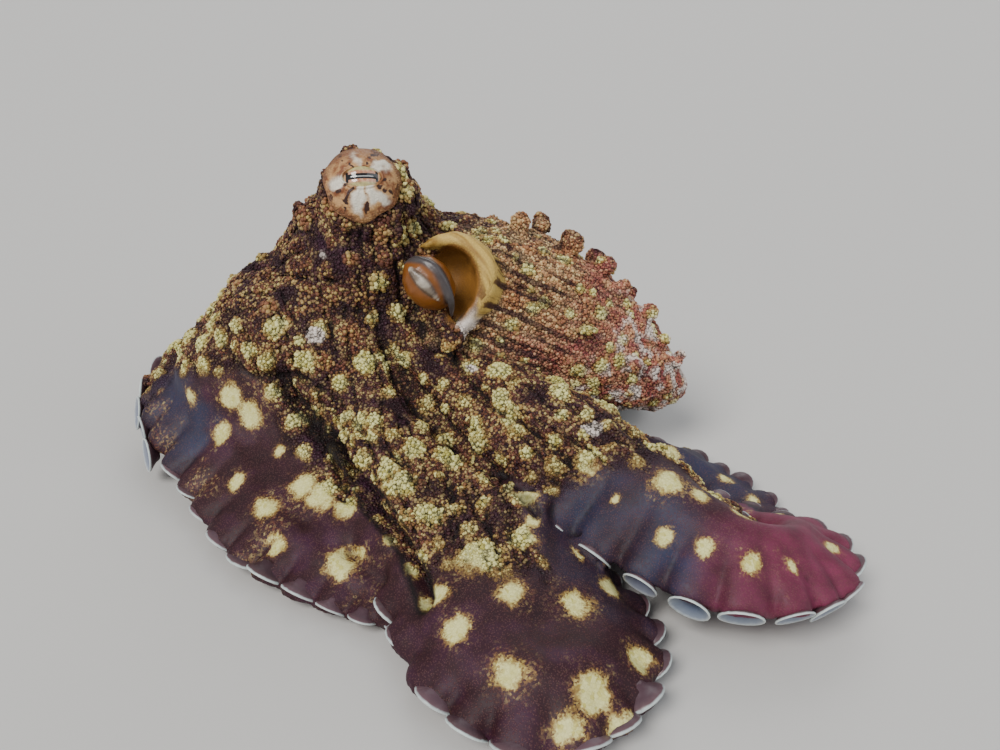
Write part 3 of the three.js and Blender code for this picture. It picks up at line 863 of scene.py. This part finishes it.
def make_coat(skin, marks, proxy):
    """Small granules all over the rough skin, largest on the mounds and finest by the eyes."""
    p, n = places(skin), normals(skin)
    corners = np.array([face.vertices[:] for face in skin.data.polygons])
    a, b, c = (p[corners[:, k]] for k in range(3))
    area = np.linalg.norm(np.cross(b - a, c - a), axis=1) / 2
    weight = area * (marks["rough"][corners].mean(1) > 0.3)
    chosen = RNG.choice(len(corners), GRANULES_TRIED, p=weight / weight.sum())
    u, v = RNG.random((2, len(chosen)))
    flip = u + v > 1
    u, v = np.where(flip, 1 - u, u), np.where(flip, 1 - v, v)
    share = np.stack([1 - u - v, u, v], 1)

    def mix(values):
        return (values[corners[chosen]] * (share if values.ndim == 1 else share[..., None])).sum(1)

    root, out = mix(p), unit(mix(n))
    mark = {key: mix(values) for key, values in marks.items()}
    swell = np.clip(np.maximum(mark["cream"], mark["orange"]) + 0.4 * mark["tan"] - 0.15, 0, 1)
    upper = step(root[:, 2], 54, 74) * (1 - step(root[:, 0], 40, 60))
    gap = np.where(upper * swell > 0.4, 1.4, np.where(upper + swell > 0.8, 1.05, 0.93))
    gap = np.where(root[:, 1] > 45, gap * 1.15, gap)
    keep = sown(root, gap)
    shown = (out[keep, 2] > -0.7) & (mark["pocket"][keep] < 0.3)
    keep = keep[shown & (RNG.random(len(keep)) > 0.9 * mark["dark"][keep])]
    root, out, swell, gap = root[keep], out[keep], swell[keep], gap[keep]
    mark = {key: values[keep] for key, values in mark.items()}
    root += out * 1.5 * mark["dome"][:, None]  # those by the eyes creep up on to the eyelids
    width = gap * RNG.uniform(0.5, 0.82, len(keep)) * (0.6 + 0.4 * step(mark["rough"], 0.3, 0.9))
    height = width * (0.55 + 0.5 * swell) * RNG.uniform(0.7, 1.25, len(keep))
    lean = unit(out + RNG.normal(0, 0.14, out.shape))
    turned = axes(lean, RNG.uniform(0, 6.3, len(keep)))
    turned[:, 0] *= (width * RNG.uniform(0.85, 1.2, len(keep)))[:, None]
    turned[:, 1] *= width[:, None]
    turned[:, 2] *= height[:, None]
    verts, faces = granule_shape()
    spots = np.concatenate([turned, (root - lean * height[:, None] * 0.1)[:, None]], 1)
    where = uv_of(root, proxy)
    tip = np.clip(verts[:, 2] * 0.5 + 0.5, 0, 1)
    pieces = []
    per_piece = COAT_TRIANGLES // len(faces)
    order = np.argsort(root[:, 0])
    for k, start in enumerate(range(0, len(order), per_piece)):
        mine = order[start:start + per_piece]
        piece = repeated(f"granules_{k + 1}", verts, faces, spots[mine])
        values = {key: np.repeat(v[mine], len(verts)) for key, v in mark.items()}
        values["tip"] = np.tile(tip, len(mine))
        values["own"] = np.repeat(RNG.random(len(mine)), len(verts))
        write_marks(piece, values)
        patch = np.tile(verts[:, :2] * PATCH / 2, (len(mine), 1))
        patch = np.repeat(where[mine], len(verts), 0) + patch
        layer = piece.data.uv_layers.new(name="OFBake")
        loops = np.empty(len(piece.data.loops), int)
        piece.data.loops.foreach_get("vertex_index", loops)
        layer.data.foreach_set("uv", patch[loops].ravel())
        pieces.append(piece)
    return pieces


# ---- suckers ----
SUCKER_PROFILE = (  # radius and height, from the root of the stalk over the rim to the middle
    (0.36, -0.68), (0.44, -0.58), (0.52, -0.44), (0.7, -0.28), (0.93, -0.1), (1.0, 0.0),
    (0.98, 0.06), (0.91, 0.04), (0.74, -0.1), (0.46, -0.2), (0.38, -0.34), (0.02, -0.36))
FINE_STEPS, PLAIN_STEPS = 18, 8  # facets round a sucker, on the left arms and the right ones


def sucker_shape(steps):
    bm = bmesh.new()
    verts = [bm.verts.new((r, 0, h)) for r, h in SUCKER_PROFILE]
    for a, b in zip(verts, verts[1:]):
        bm.edges.new((a, b))
    bmesh.ops.spin(bm, geom=bm.verts[:] + bm.edges[:], axis=(0, 0, 1), cent=(0, 0, 0),
                   angle=2 * math.pi, steps=steps, use_merge=True)
    bmesh.ops.remove_doubles(bm, verts=bm.verts, dist=0.03)
    return arrays(closed(bm))


def along_profile(verts):
    """The share of the way along the profile at each vertex of a sucker."""
    profile = np.array(SUCKER_PROFILE)
    here = np.stack([np.hypot(verts[:, 0], verts[:, 1]), verts[:, 2]], 1)
    gap = np.linalg.norm(here[:, None] - profile[None], axis=2)
    return gap.argmin(1) / (len(profile) - 1)


def make_suckers(name, arm):
    """The suckers along both edges of an arm, each facing outwards and down."""
    spots = []
    for hand in (-1, 1):
        for s in arm.suckers[hand][:-1]:
            bend = float(np.interp(s, arm.run, arm.bend))
            outer, pitch = float(arm.outer_at(s)), float(arm.pitch_at(s))
            crowded = bend * hand > 0 and 0.9 / max(abs(bend), 1e-4) < outer
            if s < arm.free[hand > 0] + 2 or crowded:
                continue
            sole = float(np.interp(s, arm.run, arm.route[:, 2]))
            angle = float(np.interp(s, arm.run, arm.heading))
            radius = 0.47 * pitch * RNG.uniform(0.84, 1.06)
            tilt = 56 - 24 * float(step(sole, 3, 9)) + RNG.uniform(-9, 9)
            tilt = math.radians(tilt - 38 * (name == "left_1" and s < 100 and hand < 0))
            way = np.array([-math.sin(angle) * hand, math.cos(angle) * hand, 0])
            axis = way * math.cos(tilt) - np.array([0, 0, math.sin(tilt)])
            over = way * math.sin(tilt) + np.array([0, 0, math.cos(tilt)])
            edge = arm.at(np.array(s), np.array(hand * (outer + 1.0)), np.array(0.5 * pitch + 0.4))
            centre = edge - over * radius
            centre[2] = max(centre[2], 1.05 * radius * math.cos(tilt) + 0.3)
            turned = axes(axis[None], np.array([RNG.uniform(0, 6.3)]))[0]
            spots.append(np.vstack([turned * radius * RNG.uniform(0.95, 1.05, (3, 1)), centre]))
    verts, faces = sucker_shape(FINE_STEPS if name.startswith("left") else PLAIN_STEPS)
    for spot in spots:
        spot[3, 2] += max(0.25 - (verts @ spot[:3, 2] + spot[3, 2]).min(), 0)
    piece = repeated(f"suckers_{name}", verts, faces, np.array(spots))
    write_marks(piece, {"part": np.tile(along_profile(verts), len(spots)),
                        "own": np.repeat(RNG.random(len(spots)), len(verts))})
    return piece


# ---- eyes and eyelids ----
def gaze_axes(look):
    """Across, up and forward, as seen from in front of the eye."""
    ahead = unit(look)
    across = unit(np.cross([0, 0, 1.0], ahead))
    return across, np.cross(ahead, across), ahead


def make_eye(side):
    centre, radius, look = TURRETS[side]
    right, up, ahead = gaze_axes(look)
    middle = np.array(centre) + ahead * (radius - EYE_RADIUS + EYE_PROUD - 1.0)
    bm = bmesh.new()
    bmesh.ops.create_icosphere(bm, subdivisions=5, radius=1)
    eye = new_object("eye_" + side + "_ball", bm)
    p = places(eye)
    x, y, out = p @ right, p @ up, p @ ahead
    bulge = 0.5 * step(out, 0.86, 0.98)  # the clear front stands a little forward
    high, wide = np.abs(y * EYE_RADIUS), np.abs(x * EYE_RADIUS)
    slit = 0.35 * (1 - step(high, 0.3, 0.9)) * (1 - step(wide, 4.4, 5.4))
    move(eye, middle + p * (EYE_RADIUS + bulge - slit * (out > 0))[:, None])
    write_marks(eye, {"across": 0.5 + x / 2, "upward": 0.5 + y / 2})
    return eye


OPENING = (6.4, 3.2)  # half the width and the height of the gap between the lids
# white streaks: bearing, spread and strength; then the bearings of the dark ones
STREAKS = ((186, 15, 1.0), (30, 17, 1.0), (255, 14, 1.0), (300, 20, 0.9), (100, 12, 0.5))
DARK_STREAKS = (205, 232, 276, 330, 352, 128, 66)


def make_lid(side):
    """The smooth dome round an eye, closing to a small opening with folded lips."""
    centre, radius, look = TURRETS[side]
    right, up, ahead = gaze_axes(look)
    outer = radius + 0.1

    def place(u, v):
        angle = 2 * np.pi * v
        lips = 1 / np.sqrt((np.cos(angle) / OPENING[0]) ** 2 + (np.sin(angle) / OPENING[1]) ** 2)
        border = 1 + 0.05 * np.sin(3 * angle + 1) + 0.04 * np.sin(7 * angle)
        border = math.radians(LID_REACH) * border
        tilt = lips / outer + (border - lips / outer) * u**1.25
        lift = np.interp(u, [0, 0.02, 0.05, 0.1, 0.16, 0.22, 0.6, 0.9, 1],
                         [-1.5, -0.3, 0.25, 0.3, -0.1, 0.1, 0, 0, -1.6])
        lift += 0.14 * np.cos(17 * angle + 3 * u) * step(u, 0.08, 0.2) * (1 - step(u, 0.4, 0.8))
        way = (right * (np.cos(angle) * np.sin(tilt))[:, None]
               + up * (np.sin(angle) * np.sin(tilt))[:, None] + ahead * np.cos(tilt)[:, None])
        return np.array(centre) + way * (outer + lift)[:, None]

    bm = laid(70, 120, place)
    bmesh.ops.recalc_face_normals(bm, faces=bm.faces)
    lid = new_object("eyelid_" + side, bm)
    n = normals(lid)
    if ((places(lid) - centre) * n).sum() < 0:
        lid.data.flip_normals()
    bake(lid, "SOLIDIFY", thickness=0.9, offset=-1)
    p = places(lid) - centre
    x, y, z = p @ right, p @ up, p @ ahead
    away = np.arctan2(np.hypot(x, y), z) / math.radians(LID_REACH)
    angle = np.degrees(np.arctan2(y, x)) % 360
    wobble, fine = field(p, 4.0, 6.1), field(p, 1.6, 2.6)
    off = (angle[:, None] - np.array(DARK_STREAKS) + 180) % 360 - 180
    white = sum(a * np.exp(-(((angle - m + 180) % 360 - 180 + 14 * wobble) / w) ** 2)
                for m, w, a in STREAKS)
    white = np.clip(white, 0, 1) * step(away, 0.12, 0.2)
    white *= 1 - step(away + 0.2 * wobble, 0.45, 0.85)
    dark = np.exp(-((off + 9 * wobble[:, None]) / 6) ** 2).max(1) * step(fine + wobble, -0.3, 0.25)
    dark *= step(away, 0.18, 0.28) * (1 - step(away, 0.8, 1.0))
    write_marks(lid, {"white": white * (1 - 0.8 * dark), "dark": dark,
                      "lip": 1 - step(away, 0.1, 0.2),
                      "edge": step(away + 0.14 * wobble, 0.66, 0.97), "crown": step(y, 3, 10)})
    return lid


# ---- funnel ----
FUNNEL_BODY = ((30.5, -34.5, 85.5), (34, -36, 81.5), (38, -36.2, 76.5), (42.5, -31.5, 72))
FUNNEL_RADII = (2.5, 6.6, 8.0, 7.8, 6.2, 2.5)
FUNNEL_LIP = ((28.5, -33, 84), (33, -37.5, 86.6), (38.6, -40.2, 85.0), (42.4, -42, 79.5),
              (44.2, -42, 73), (44, -40, 68))
# the line of the raised leaf-shaped patch, whose pale grey is a painted highlight
FUNNEL_LEAF = ((30, -40, 85.5), (35, -43.4, 81), (40.5, -43.4, 74.5))


def make_funnel():
    """The funnel: a bulging tube with a grey lip, and on its side a raised leaf-shaped patch
    painted pale grey as a highlight, in a groove painted dark as shade.
    """
    bulge = swept(FUNNEL_BODY, FUNNEL_RADII, 40, 32)
    band = swept(FUNNEL_LIP, (0.4, 1.1, 1.5, 1.6, 1.4, 0.6), 80, 16)
    funnel = joined("funnel_skin", [bulge, band])
    bake(funnel, "REMESH", mode="VOXEL", voxel_size=FUNNEL_GRAIN)
    bake(funnel, "SMOOTH", factor=0.5, iterations=8)
    p, n = places(funnel), normals(funnel)
    leaf, run = near_line(p, FUNNEL_LEAF)
    width = 1.9 * np.sin(np.pi * np.clip(run, 0.02, 0.98))
    inside = 1 - step(leaf, width * 0.7, width + 0.5)
    # a shallow groove round the leaf, which the finish paints dark as shade
    groove = np.exp(-((leaf - width) / 0.5) ** 2) * (width > 0.8)
    move(funnel, p + n * (0.55 * inside - 0.3 * groove)[:, None])
    band_gap, _ = near_line(p, FUNNEL_LIP)
    on_band = (1 - step(band_gap, 1.4, 2.8)) * 0.85
    write_marks(funnel, {"leaf": inside, "band": on_band, "edge": groove})
    return funnel


# ---- finishes ----
class Value:
    """A socket whose arithmetic adds Math nodes."""

    def __init__(self, socket):
        self.socket = socket

    def math(self, operation, *others, clamp=False):
        tree = self.socket.id_data
        node = tree.nodes.new("ShaderNodeMath")
        node.operation, node.use_clamp = operation, clamp
        for slot, value in zip(node.inputs, (self, *others)):
            link(tree, value, slot)
        return Value(node.outputs[0])

    def __add__(self, other):
        return self.math("ADD", other)

    def __sub__(self, other):
        return self.math("SUBTRACT", other)

    def __rsub__(self, other):
        return self.math("MULTIPLY", -1.0).math("ADD", other)

    def __mul__(self, other):
        return self.math("MULTIPLY", other)

    __radd__, __rmul__ = __add__, __mul__

    def over(self, low, high):
        """0 below low and 1 above high, with a smooth ramp."""
        tree = self.socket.id_data
        node = tree.nodes.new("ShaderNodeMapRange")
        node.interpolation_type = "SMOOTHSTEP"
        link(tree, self, node.inputs["Value"])
        node.inputs["From Min"].default_value = low
        node.inputs["From Max"].default_value = high
        return Value(node.outputs[0])


def link(tree, value, slot):
    if isinstance(value, Value):
        tree.links.new(value.socket, slot)
    elif hasattr(value, "__len__") and len(value) == 3 and slot.type == "RGBA":
        slot.default_value = (*value, 1)
    else:
        slot.default_value = value


class Finish:
    """A material and its nodes."""

    def __init__(self, name, **constants):
        self.material = bpy.data.materials.new(name)
        self.material.use_nodes = True
        self.tree = self.material.node_tree
        self.surface = self.tree.nodes["Principled BSDF"]
        self.feed(**constants)
        self.place = self.node("TexCoord", out="Object")

    def node(self, kind, settings=None, inputs=None, out=0):
        node = self.tree.nodes.new("ShaderNode" + kind)
        for key, value in (settings or {}).items():
            if key == "stops":
                ramp = node.color_ramp
                while len(ramp.elements) < len(value):
                    ramp.elements.new(0.5)
                for element, (at, colour) in zip(ramp.elements, value):
                    element.position, element.color = at, (*colour, 1)
            else:
                setattr(node, key, value)
        for key, value in (inputs or {}).items():
            link(self.tree, value, node.inputs[key])
        return Value(node.outputs[out])

    def mark(self, name):
        return self.node("Attribute", {"attribute_name": name}, out="Fac")

    def noise(self, scale, detail=3, vector=None):
        sockets = {"Vector": vector or self.place, "Scale": scale, "Detail": detail}
        return self.node("TexNoise", inputs=sockets, out="Fac")

    def cells(self, scale, feature, out):
        return self.node("TexVoronoi", {"feature": feature},
                         {"Vector": self.place, "Scale": scale}, out)

    def ramp(self, share, *stops):
        return self.node("ValToRGB", {"stops": stops}, {"Fac": share})

    def mix(self, share, a, b):
        node = self.tree.nodes.new("ShaderNodeMix")
        node.data_type = "RGBA"
        for slot, value in ((0, share), (6, a), (7, b)):
            link(self.tree, value, node.inputs[slot])
        return Value(node.outputs[2])

    def feed(self, **values):
        for key, value in values.items():
            link(self.tree, value, self.surface.inputs[key.replace("_", " ")])

    def bump(self, height, strength, distance):
        sockets = {"Height": height, "Strength": strength, "Distance": distance}
        self.feed(Normal=self.node("Bump", inputs=sockets))


def tint(code):
    """A colour written as in a paint chart, turned to the linear values shaders take."""
    parts = [int(code[k:k + 2], 16) / 255 for k in (0, 2, 4)]
    return tuple(c / 12.92 if c <= 0.04045 else ((c + 0.055) / 1.055) ** 2.4 for c in parts)


MAROON, DEEP, PLUM = tint("31141d"), tint("1f0f13"), tint("44203a")
CRIMSON, BERRY, SHEEN_BLUE_GREY, DUSK = tint("b0525c"), tint("92395a"), tint("2c3a56"), tint("7a4f48")
TAN, OCHRE, RUST, COPPER = tint("bfa96e"), tint("b08a42"), tint("85503a"), tint("a8744e")
CREAM, LEMON, CHALK = tint("eae69e"), tint("ccc466"), tint("ece0d6")
BRONZE, BUTTER, BLACK = tint("97702e"), tint("d4b462"), tint("0b0607")
ROSE, SAND = tint("c4875a"), tint("efd09a")


def skin_finish(name, coat=False):
    """The skin's colours; the coat has the same, and takes its net of lines from its granules."""
    f = Finish(name, Specular_IOR_Level=0.32)

    def shades(share, *colours):
        last = len(colours) - 1
        return f.ramp(share, *((0.2 + 0.6 * i / last, c) for i, c in enumerate(colours)))

    broad, middle, small = f.noise(38.0), f.noise(150.0), f.noise(600.0, 2)
    rough, dark, dome = f.mark("rough"), f.mark("dark"), f.mark("dome")
    cream, orange, pale, red = (f.mark(key) for key in ("cream", "orange", "pale", "red"))
    if coat:
        own, tip = f.mark("own"), f.mark("tip")
        net = 1 - tip.over(0.1, 0.6)
    else:
        own = f.cells(1050.0, "F1", "Color") * 1.0
        edge = f.cells(1050.0, "DISTANCE_TO_EDGE", "Distance")
        net = 1 - edge.over(0.03, 0.22)
    speck = (own * 0.65 + middle * 0.7 - 0.175).math("ADD", 0.0, clamp=True)
    skin = shades(middle * 0.6 + broad * 0.6 - 0.1, DEEP, MAROON, PLUM)
    skin = f.mix((red * (0.35 + middle * 0.9)).over(0.0, 0.9), skin, f.mix(rough, BERRY, CRIMSON))
    # painted blue-grey sheen on the arms
    skin = f.mix(f.mark("blue") * broad.over(0.25, 0.65) * 0.75, skin, SHEEN_BLUE_GREY)

    # fine dots on the smooth arms
    fine, each = f.cells(1900.0, "F1", "Distance"), f.cells(1900.0, "F1", "Color") * 1.0
    stipple = (1 - fine.over(0.1, 0.5)) * (1 - rough)
    skin = f.mix(stipple * (0.25 + middle * 0.3), skin, DUSK)

    # tan and orange mottling, rosier on the mantle
    uneven = (speck - 0.5) * 0.9 + (each - 0.5) * (1 - rough) * 1.1
    tan = f.mark("tan") * (rough * 0.6 + 0.45 + uneven)
    sac = f.mark("sac")
    brown = f.mix(sac * 0.8, shades(speck, MAROON, RUST, TAN), shades(speck, RUST, ROSE, SAND))
    skin = f.mix(tan.over(0.1, 0.8) * 0.92 * (1 - red * 0.55), skin, brown)
    warm = f.mix(sac * 0.7, shades(speck, RUST, COPPER, TAN), shades(speck, ROSE, ROSE, SAND))
    skin = f.mix(orange.over(0.1, 0.8) * 0.9 * (1 - red * 0.6), skin, warm)
    skin = f.mix(sac * middle.over(0.35, 0.7) * (1 - red * 0.6) * 0.4, skin, SAND)

    # cream spots and mounds with a speckled halo, then the palest places
    ragged = (own - 0.5) * rough * 0.45 + (each - 0.5) * (1 - rough) * 0.5 + (broad - 0.5) * 0.3
    halo = cream + ragged * cream.over(0.0, 0.15)
    skin = f.mix(halo.over(0.0, 0.45) * 0.7, skin, OCHRE)
    skin = f.mix(halo.over(0.2, 0.85) * 0.95, skin, shades(speck, LEMON, CREAM, CREAM))
    skin = f.mix((pale + (middle - 0.5) * 0.8 * pale).over(0.15, 0.7), skin, CHALK)

    # the collar of the opening, with fine streaks that run on over the mantle
    lie = f.node("CombineXYZ", inputs={"X": f.mark("lie_along") * (LIE / 20),
                                       "Y": f.mark("lie_over") * (LIE / 2.3)})
    streak = f.noise(1.0, 2, lie)
    rim = (f.mark("rim") + (streak - 0.5) * 0.5 * f.mark("rim")).over(0.1, 0.75)
    skin = f.mix(rim, skin, f.mix(streak.over(0.3, 0.6) * (0.6 + middle * 0.6), BRONZE, BUTTER))
    skin = f.mix(f.mark("ray") * (1 - streak.over(0.4, 0.52)) * 0.9, skin, MAROON)
    skin = f.mix(f.mark("pocket"), skin, f.mix(broad, tint("70491a"), tint("b07c38")))

    if coat:
        skin = f.mix((1 - own) * 0.22, skin, DEEP)
        skin = f.mix(net * (0.72 - pale * 0.3 - sac * 0.36), skin, DEEP)
        # painted shade in the hollows and furrows
        skin = f.mix(dark * 0.6, skin, BLACK)
        height = small * 0.5
        f.feed(Roughness=0.45 + small * 0.2)
    else:
        skin = f.mix(net * (rough * 0.75 + 0.12) * (1 - dome * 0.9), skin, DEEP)
        # painted shade in the hollows and furrows
        skin = f.mix(dark * 0.9, skin, BLACK)
        height = edge.over(0.0, 0.3) * rough + stipple * 0.16 + small * 0.2 + f.noise(320.0) * 0.35
        f.feed(Roughness=0.46 + small * 0.2 + rough * 0.08)
    f.bump(height, 0.6, 0.0007)
    f.feed(Base_Color=skin)
    return f.material


def sucker_finish():
    """Dark outside, with a white rim and a blue-grey cup."""
    f = Finish("sucker_skin")
    small = f.noise(500.0)
    part = f.mark("part") + (small - 0.5) * 0.06
    colour = f.ramp(
        part, (0.0, MAROON), (0.3, tint("3d2930")), (0.39, tint("5a4245")), (0.44, tint("c3d3d2")),
        (0.56, tint("e6eeea")), (0.68, tint("8b96a6")), (0.85, tint("5f6a80")),
        (1.0, tint("3a3a4a")))
    colour = f.mix(f.mark("own") * 0.25, colour, tint("8a6a78"))
    f.bump(small, 0.4, 0.0005)
    f.feed(Base_Color=colour, Roughness=0.28 + small * 0.2)
    return f.material


def lid_finish():
    f = Finish("eyelid_skin")
    middle, small = f.noise(330.0, 4), f.noise(1100.0, 2)
    cell = f.cells(900.0, "DISTANCE_TO_EDGE", "Distance")
    skin = f.mix(middle.over(0.35, 0.62), tint("7d4622"), tint("c79a66"))
    skin = f.mix(f.mark("crown") * (0.4 + middle * 0.6), skin, tint("85593a"))
    white = f.mark("white") * (0.8 + (middle - 0.5) * 1.2)
    skin = f.mix(white.over(0.1, 0.62), skin, tint("e9e2d0"))
    skin = f.mix((f.mark("dark") * (0.5 + middle)).over(0.2, 0.65), skin, tint("35150c"))
    skin = f.mix(f.mark("lip"), skin, f.mix(small, tint("a9826a"), tint("e8d2bc")))
    skin = f.mix(f.mark("edge") * 0.85, skin, f.mix(small, tint("5b3320"), tint("a9764a")))
    skin = f.mix((1 - cell.over(0.02, 0.14)) * (0.1 + f.mark("edge") * 0.5), skin, tint("3a1c12"))
    height = cell.over(0.0, 0.3) * (0.25 + f.mark("edge")) + middle * 0.8
    f.bump(height, 0.5, 0.0006)
    f.feed(Base_Color=skin, Roughness=0.42 + small * 0.2)
    return f.material


def eye_finish():
    """A wet, pinkish eye with a dark bar of a pupil, widened at both ends, and a line of light."""
    f = Finish("eye_surface", Coat_Weight=1.0, Coat_Roughness=0.03)
    x = ((f.mark("across") - 0.5) * (2 * EYE_RADIUS)).math("ABSOLUTE")
    y = ((f.mark("upward") - 0.5) * (2 * EYE_RADIUS)).math("ABSOLUTE")
    small = f.noise(900.0)
    bar = (1 - y.over(0.8, 1.0)) * (1 - x.over(4.5, 4.9))
    ends = (1 - (x - 4.7).math("ABSOLUTE").over(0.35, 0.6)) * (1 - y.over(1.5, 2.0))
    shine = (1 - y.over(0.08, 0.22)) * (1 - x.over(3.2, 3.9))
    iris = f.mix(small.over(0.3, 0.7), tint("b87858"), tint("e0b090"))
    around = f.mix(small, tint("7a5638"), CREAM)
    colour = f.mix((1 - y.over(1.5, 2.3)) * (1 - x.over(5.0, 6.0)), around, iris)
    colour = f.mix(bar.math("MAXIMUM", ends), colour, (0.002, 0.002, 0.003))
    colour = f.mix(shine * 0.75, colour, tint("d8dcdc"))
    f.feed(Base_Color=colour, Roughness=0.08 + small * 0.06)
    return f.material


def funnel_finish():
    f = Finish("funnel_skin")
    middle = f.noise(220.0, 4)
    colour = f.mix(middle, tint("5e3413"), tint("94581f"))
    # the leaf's pale grey is a painted highlight on its raised patch
    leaf = f.mix(middle.over(0.4, 0.6), tint("7d7468"), tint("b9b2a4"))
    colour = f.mix(f.mark("leaf") * 0.9, colour, leaf)
    colour = f.mix(f.mark("band"), colour, f.mix(middle, tint("1f272d"), tint("47525a")))
    # painted shade in the groove round the leaf
    colour = f.mix(f.mark("edge") * 0.7, colour, tint("3a2618"))
    f.bump(middle, 0.3, 0.0006)
    f.feed(Base_Color=colour, Roughness=0.22 + middle * 0.2)
    return f.material


# ---- the model ----
def place_piece(piece, finish, slot, *nodes):
    """Sets a piece down in metres, finished, and standing for its nodes of the frame."""
    piece.data.transform(Matrix.Scale(MM, 4))
    piece.data.polygons.foreach_set("use_smooth", [True] * len(piece.data.polygons))
    piece.data.materials.clear()
    piece.data.materials.append(finish)
    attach(piece, "root")
    if nodes:
        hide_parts(*nodes)


def make_model():
    skin = make_skin()
    mounds, mound_radii, listed = relief(skin)
    flatten(skin)
    thin(skin, SKIN_TRIANGLES)
    marks = markings(skin, mounds, mound_radii, listed)
    write_marks(skin, marks)
    coat = make_coat(skin, marks, unwrap(skin))
    bare, beaded = skin_finish("octopus_skin"), skin_finish("octopus_granules", coat=True)
    flesh = [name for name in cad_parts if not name.startswith(("eye_", "funnel"))]
    place_piece(skin, bare, "skin", *flesh)
    for piece in coat:
        place_piece(piece, beaded, "skin")
    suckers = sucker_finish()
    for name, arm in LIMBS.items():
        place_piece(make_suckers(name, arm), suckers, "arm_skin")
    shine, lids = eye_finish(), lid_finish()
    for side in TURRETS:
        place_piece(make_eye(side), shine, "eye", "eye_" + side)
        place_piece(make_lid(side), lids, "skin")
    place_piece(make_funnel(), funnel_finish(), "funnel_skin", "funnel")


make_model()


# ---- floor, lights and camera ----
FLOOR_REACH = 30  # metres each way, so that its edge lies out of the camera's sight
FLOOR_COLOUR = (0.62, 0.61, 0.59, 1)
LIGHTS = (  # name, direction, strength, softness in degrees and colour
    ("key", (0.45, 0.62, -0.8), 2.8, 30, (1, 0.97, 0.93)),
    ("fill", (-0.9, 0.5, -0.6), 0.6, 50, (0.93, 0.97, 1)),
    ("back", (-0.1, -0.9, -0.75), 0.7, 40, (1, 1, 1)))
SKY_COLOUR, SKY_STRENGTH = (0.9, 0.94, 1, 1), 0.4
CAMERA_PLACE, CAMERA_DOWN, CAMERA_LENS = (0.060, -0.317, 0.1757), 25, 32.4


def soft_light(name, way, strength, softness, colour):
    data = bpy.data.lights.new(name, "SUN")
    data.energy, data.angle, data.color = strength, math.radians(softness), colour
    shown(name, data).rotation_euler = Vector(way).to_track_quat("-Z", "Y").to_euler()


def make_stage():
    bm = bmesh.new()
    bmesh.ops.create_grid(bm, x_segments=1, y_segments=1, size=FLOOR_REACH)
    floor = new_object("floor", bm)
    finish = bpy.data.materials.new("pale_floor")
    finish.use_nodes = True
    surface = finish.node_tree.nodes["Principled BSDF"]
    surface.inputs["Base Color"].default_value = FLOOR_COLOUR
    surface.inputs["Roughness"].default_value = 0.8
    floor.data.materials.append(finish)
    for light in LIGHTS:
        soft_light(*light)
    world = bpy.data.worlds.new("studio")
    world.use_nodes = True
    sky = world.node_tree.nodes["Background"]
    sky.inputs["Color"].default_value = SKY_COLOUR
    sky.inputs["Strength"].default_value = SKY_STRENGTH
    bpy.context.scene.world = world


def make_camera():
    data = bpy.data.cameras.new("camera")
    data.lens, data.sensor_width = CAMERA_LENS, 36
    data.clip_start, data.clip_end = 0.01, 20
    camera = shown("camera", data)
    camera.location = CAMERA_PLACE
    camera.rotation_euler = (math.radians(90 - CAMERA_DOWN), 0, 0)
    bpy.context.scene.camera = camera


make_stage()
make_camera()
bpy.context.view_layer.update()
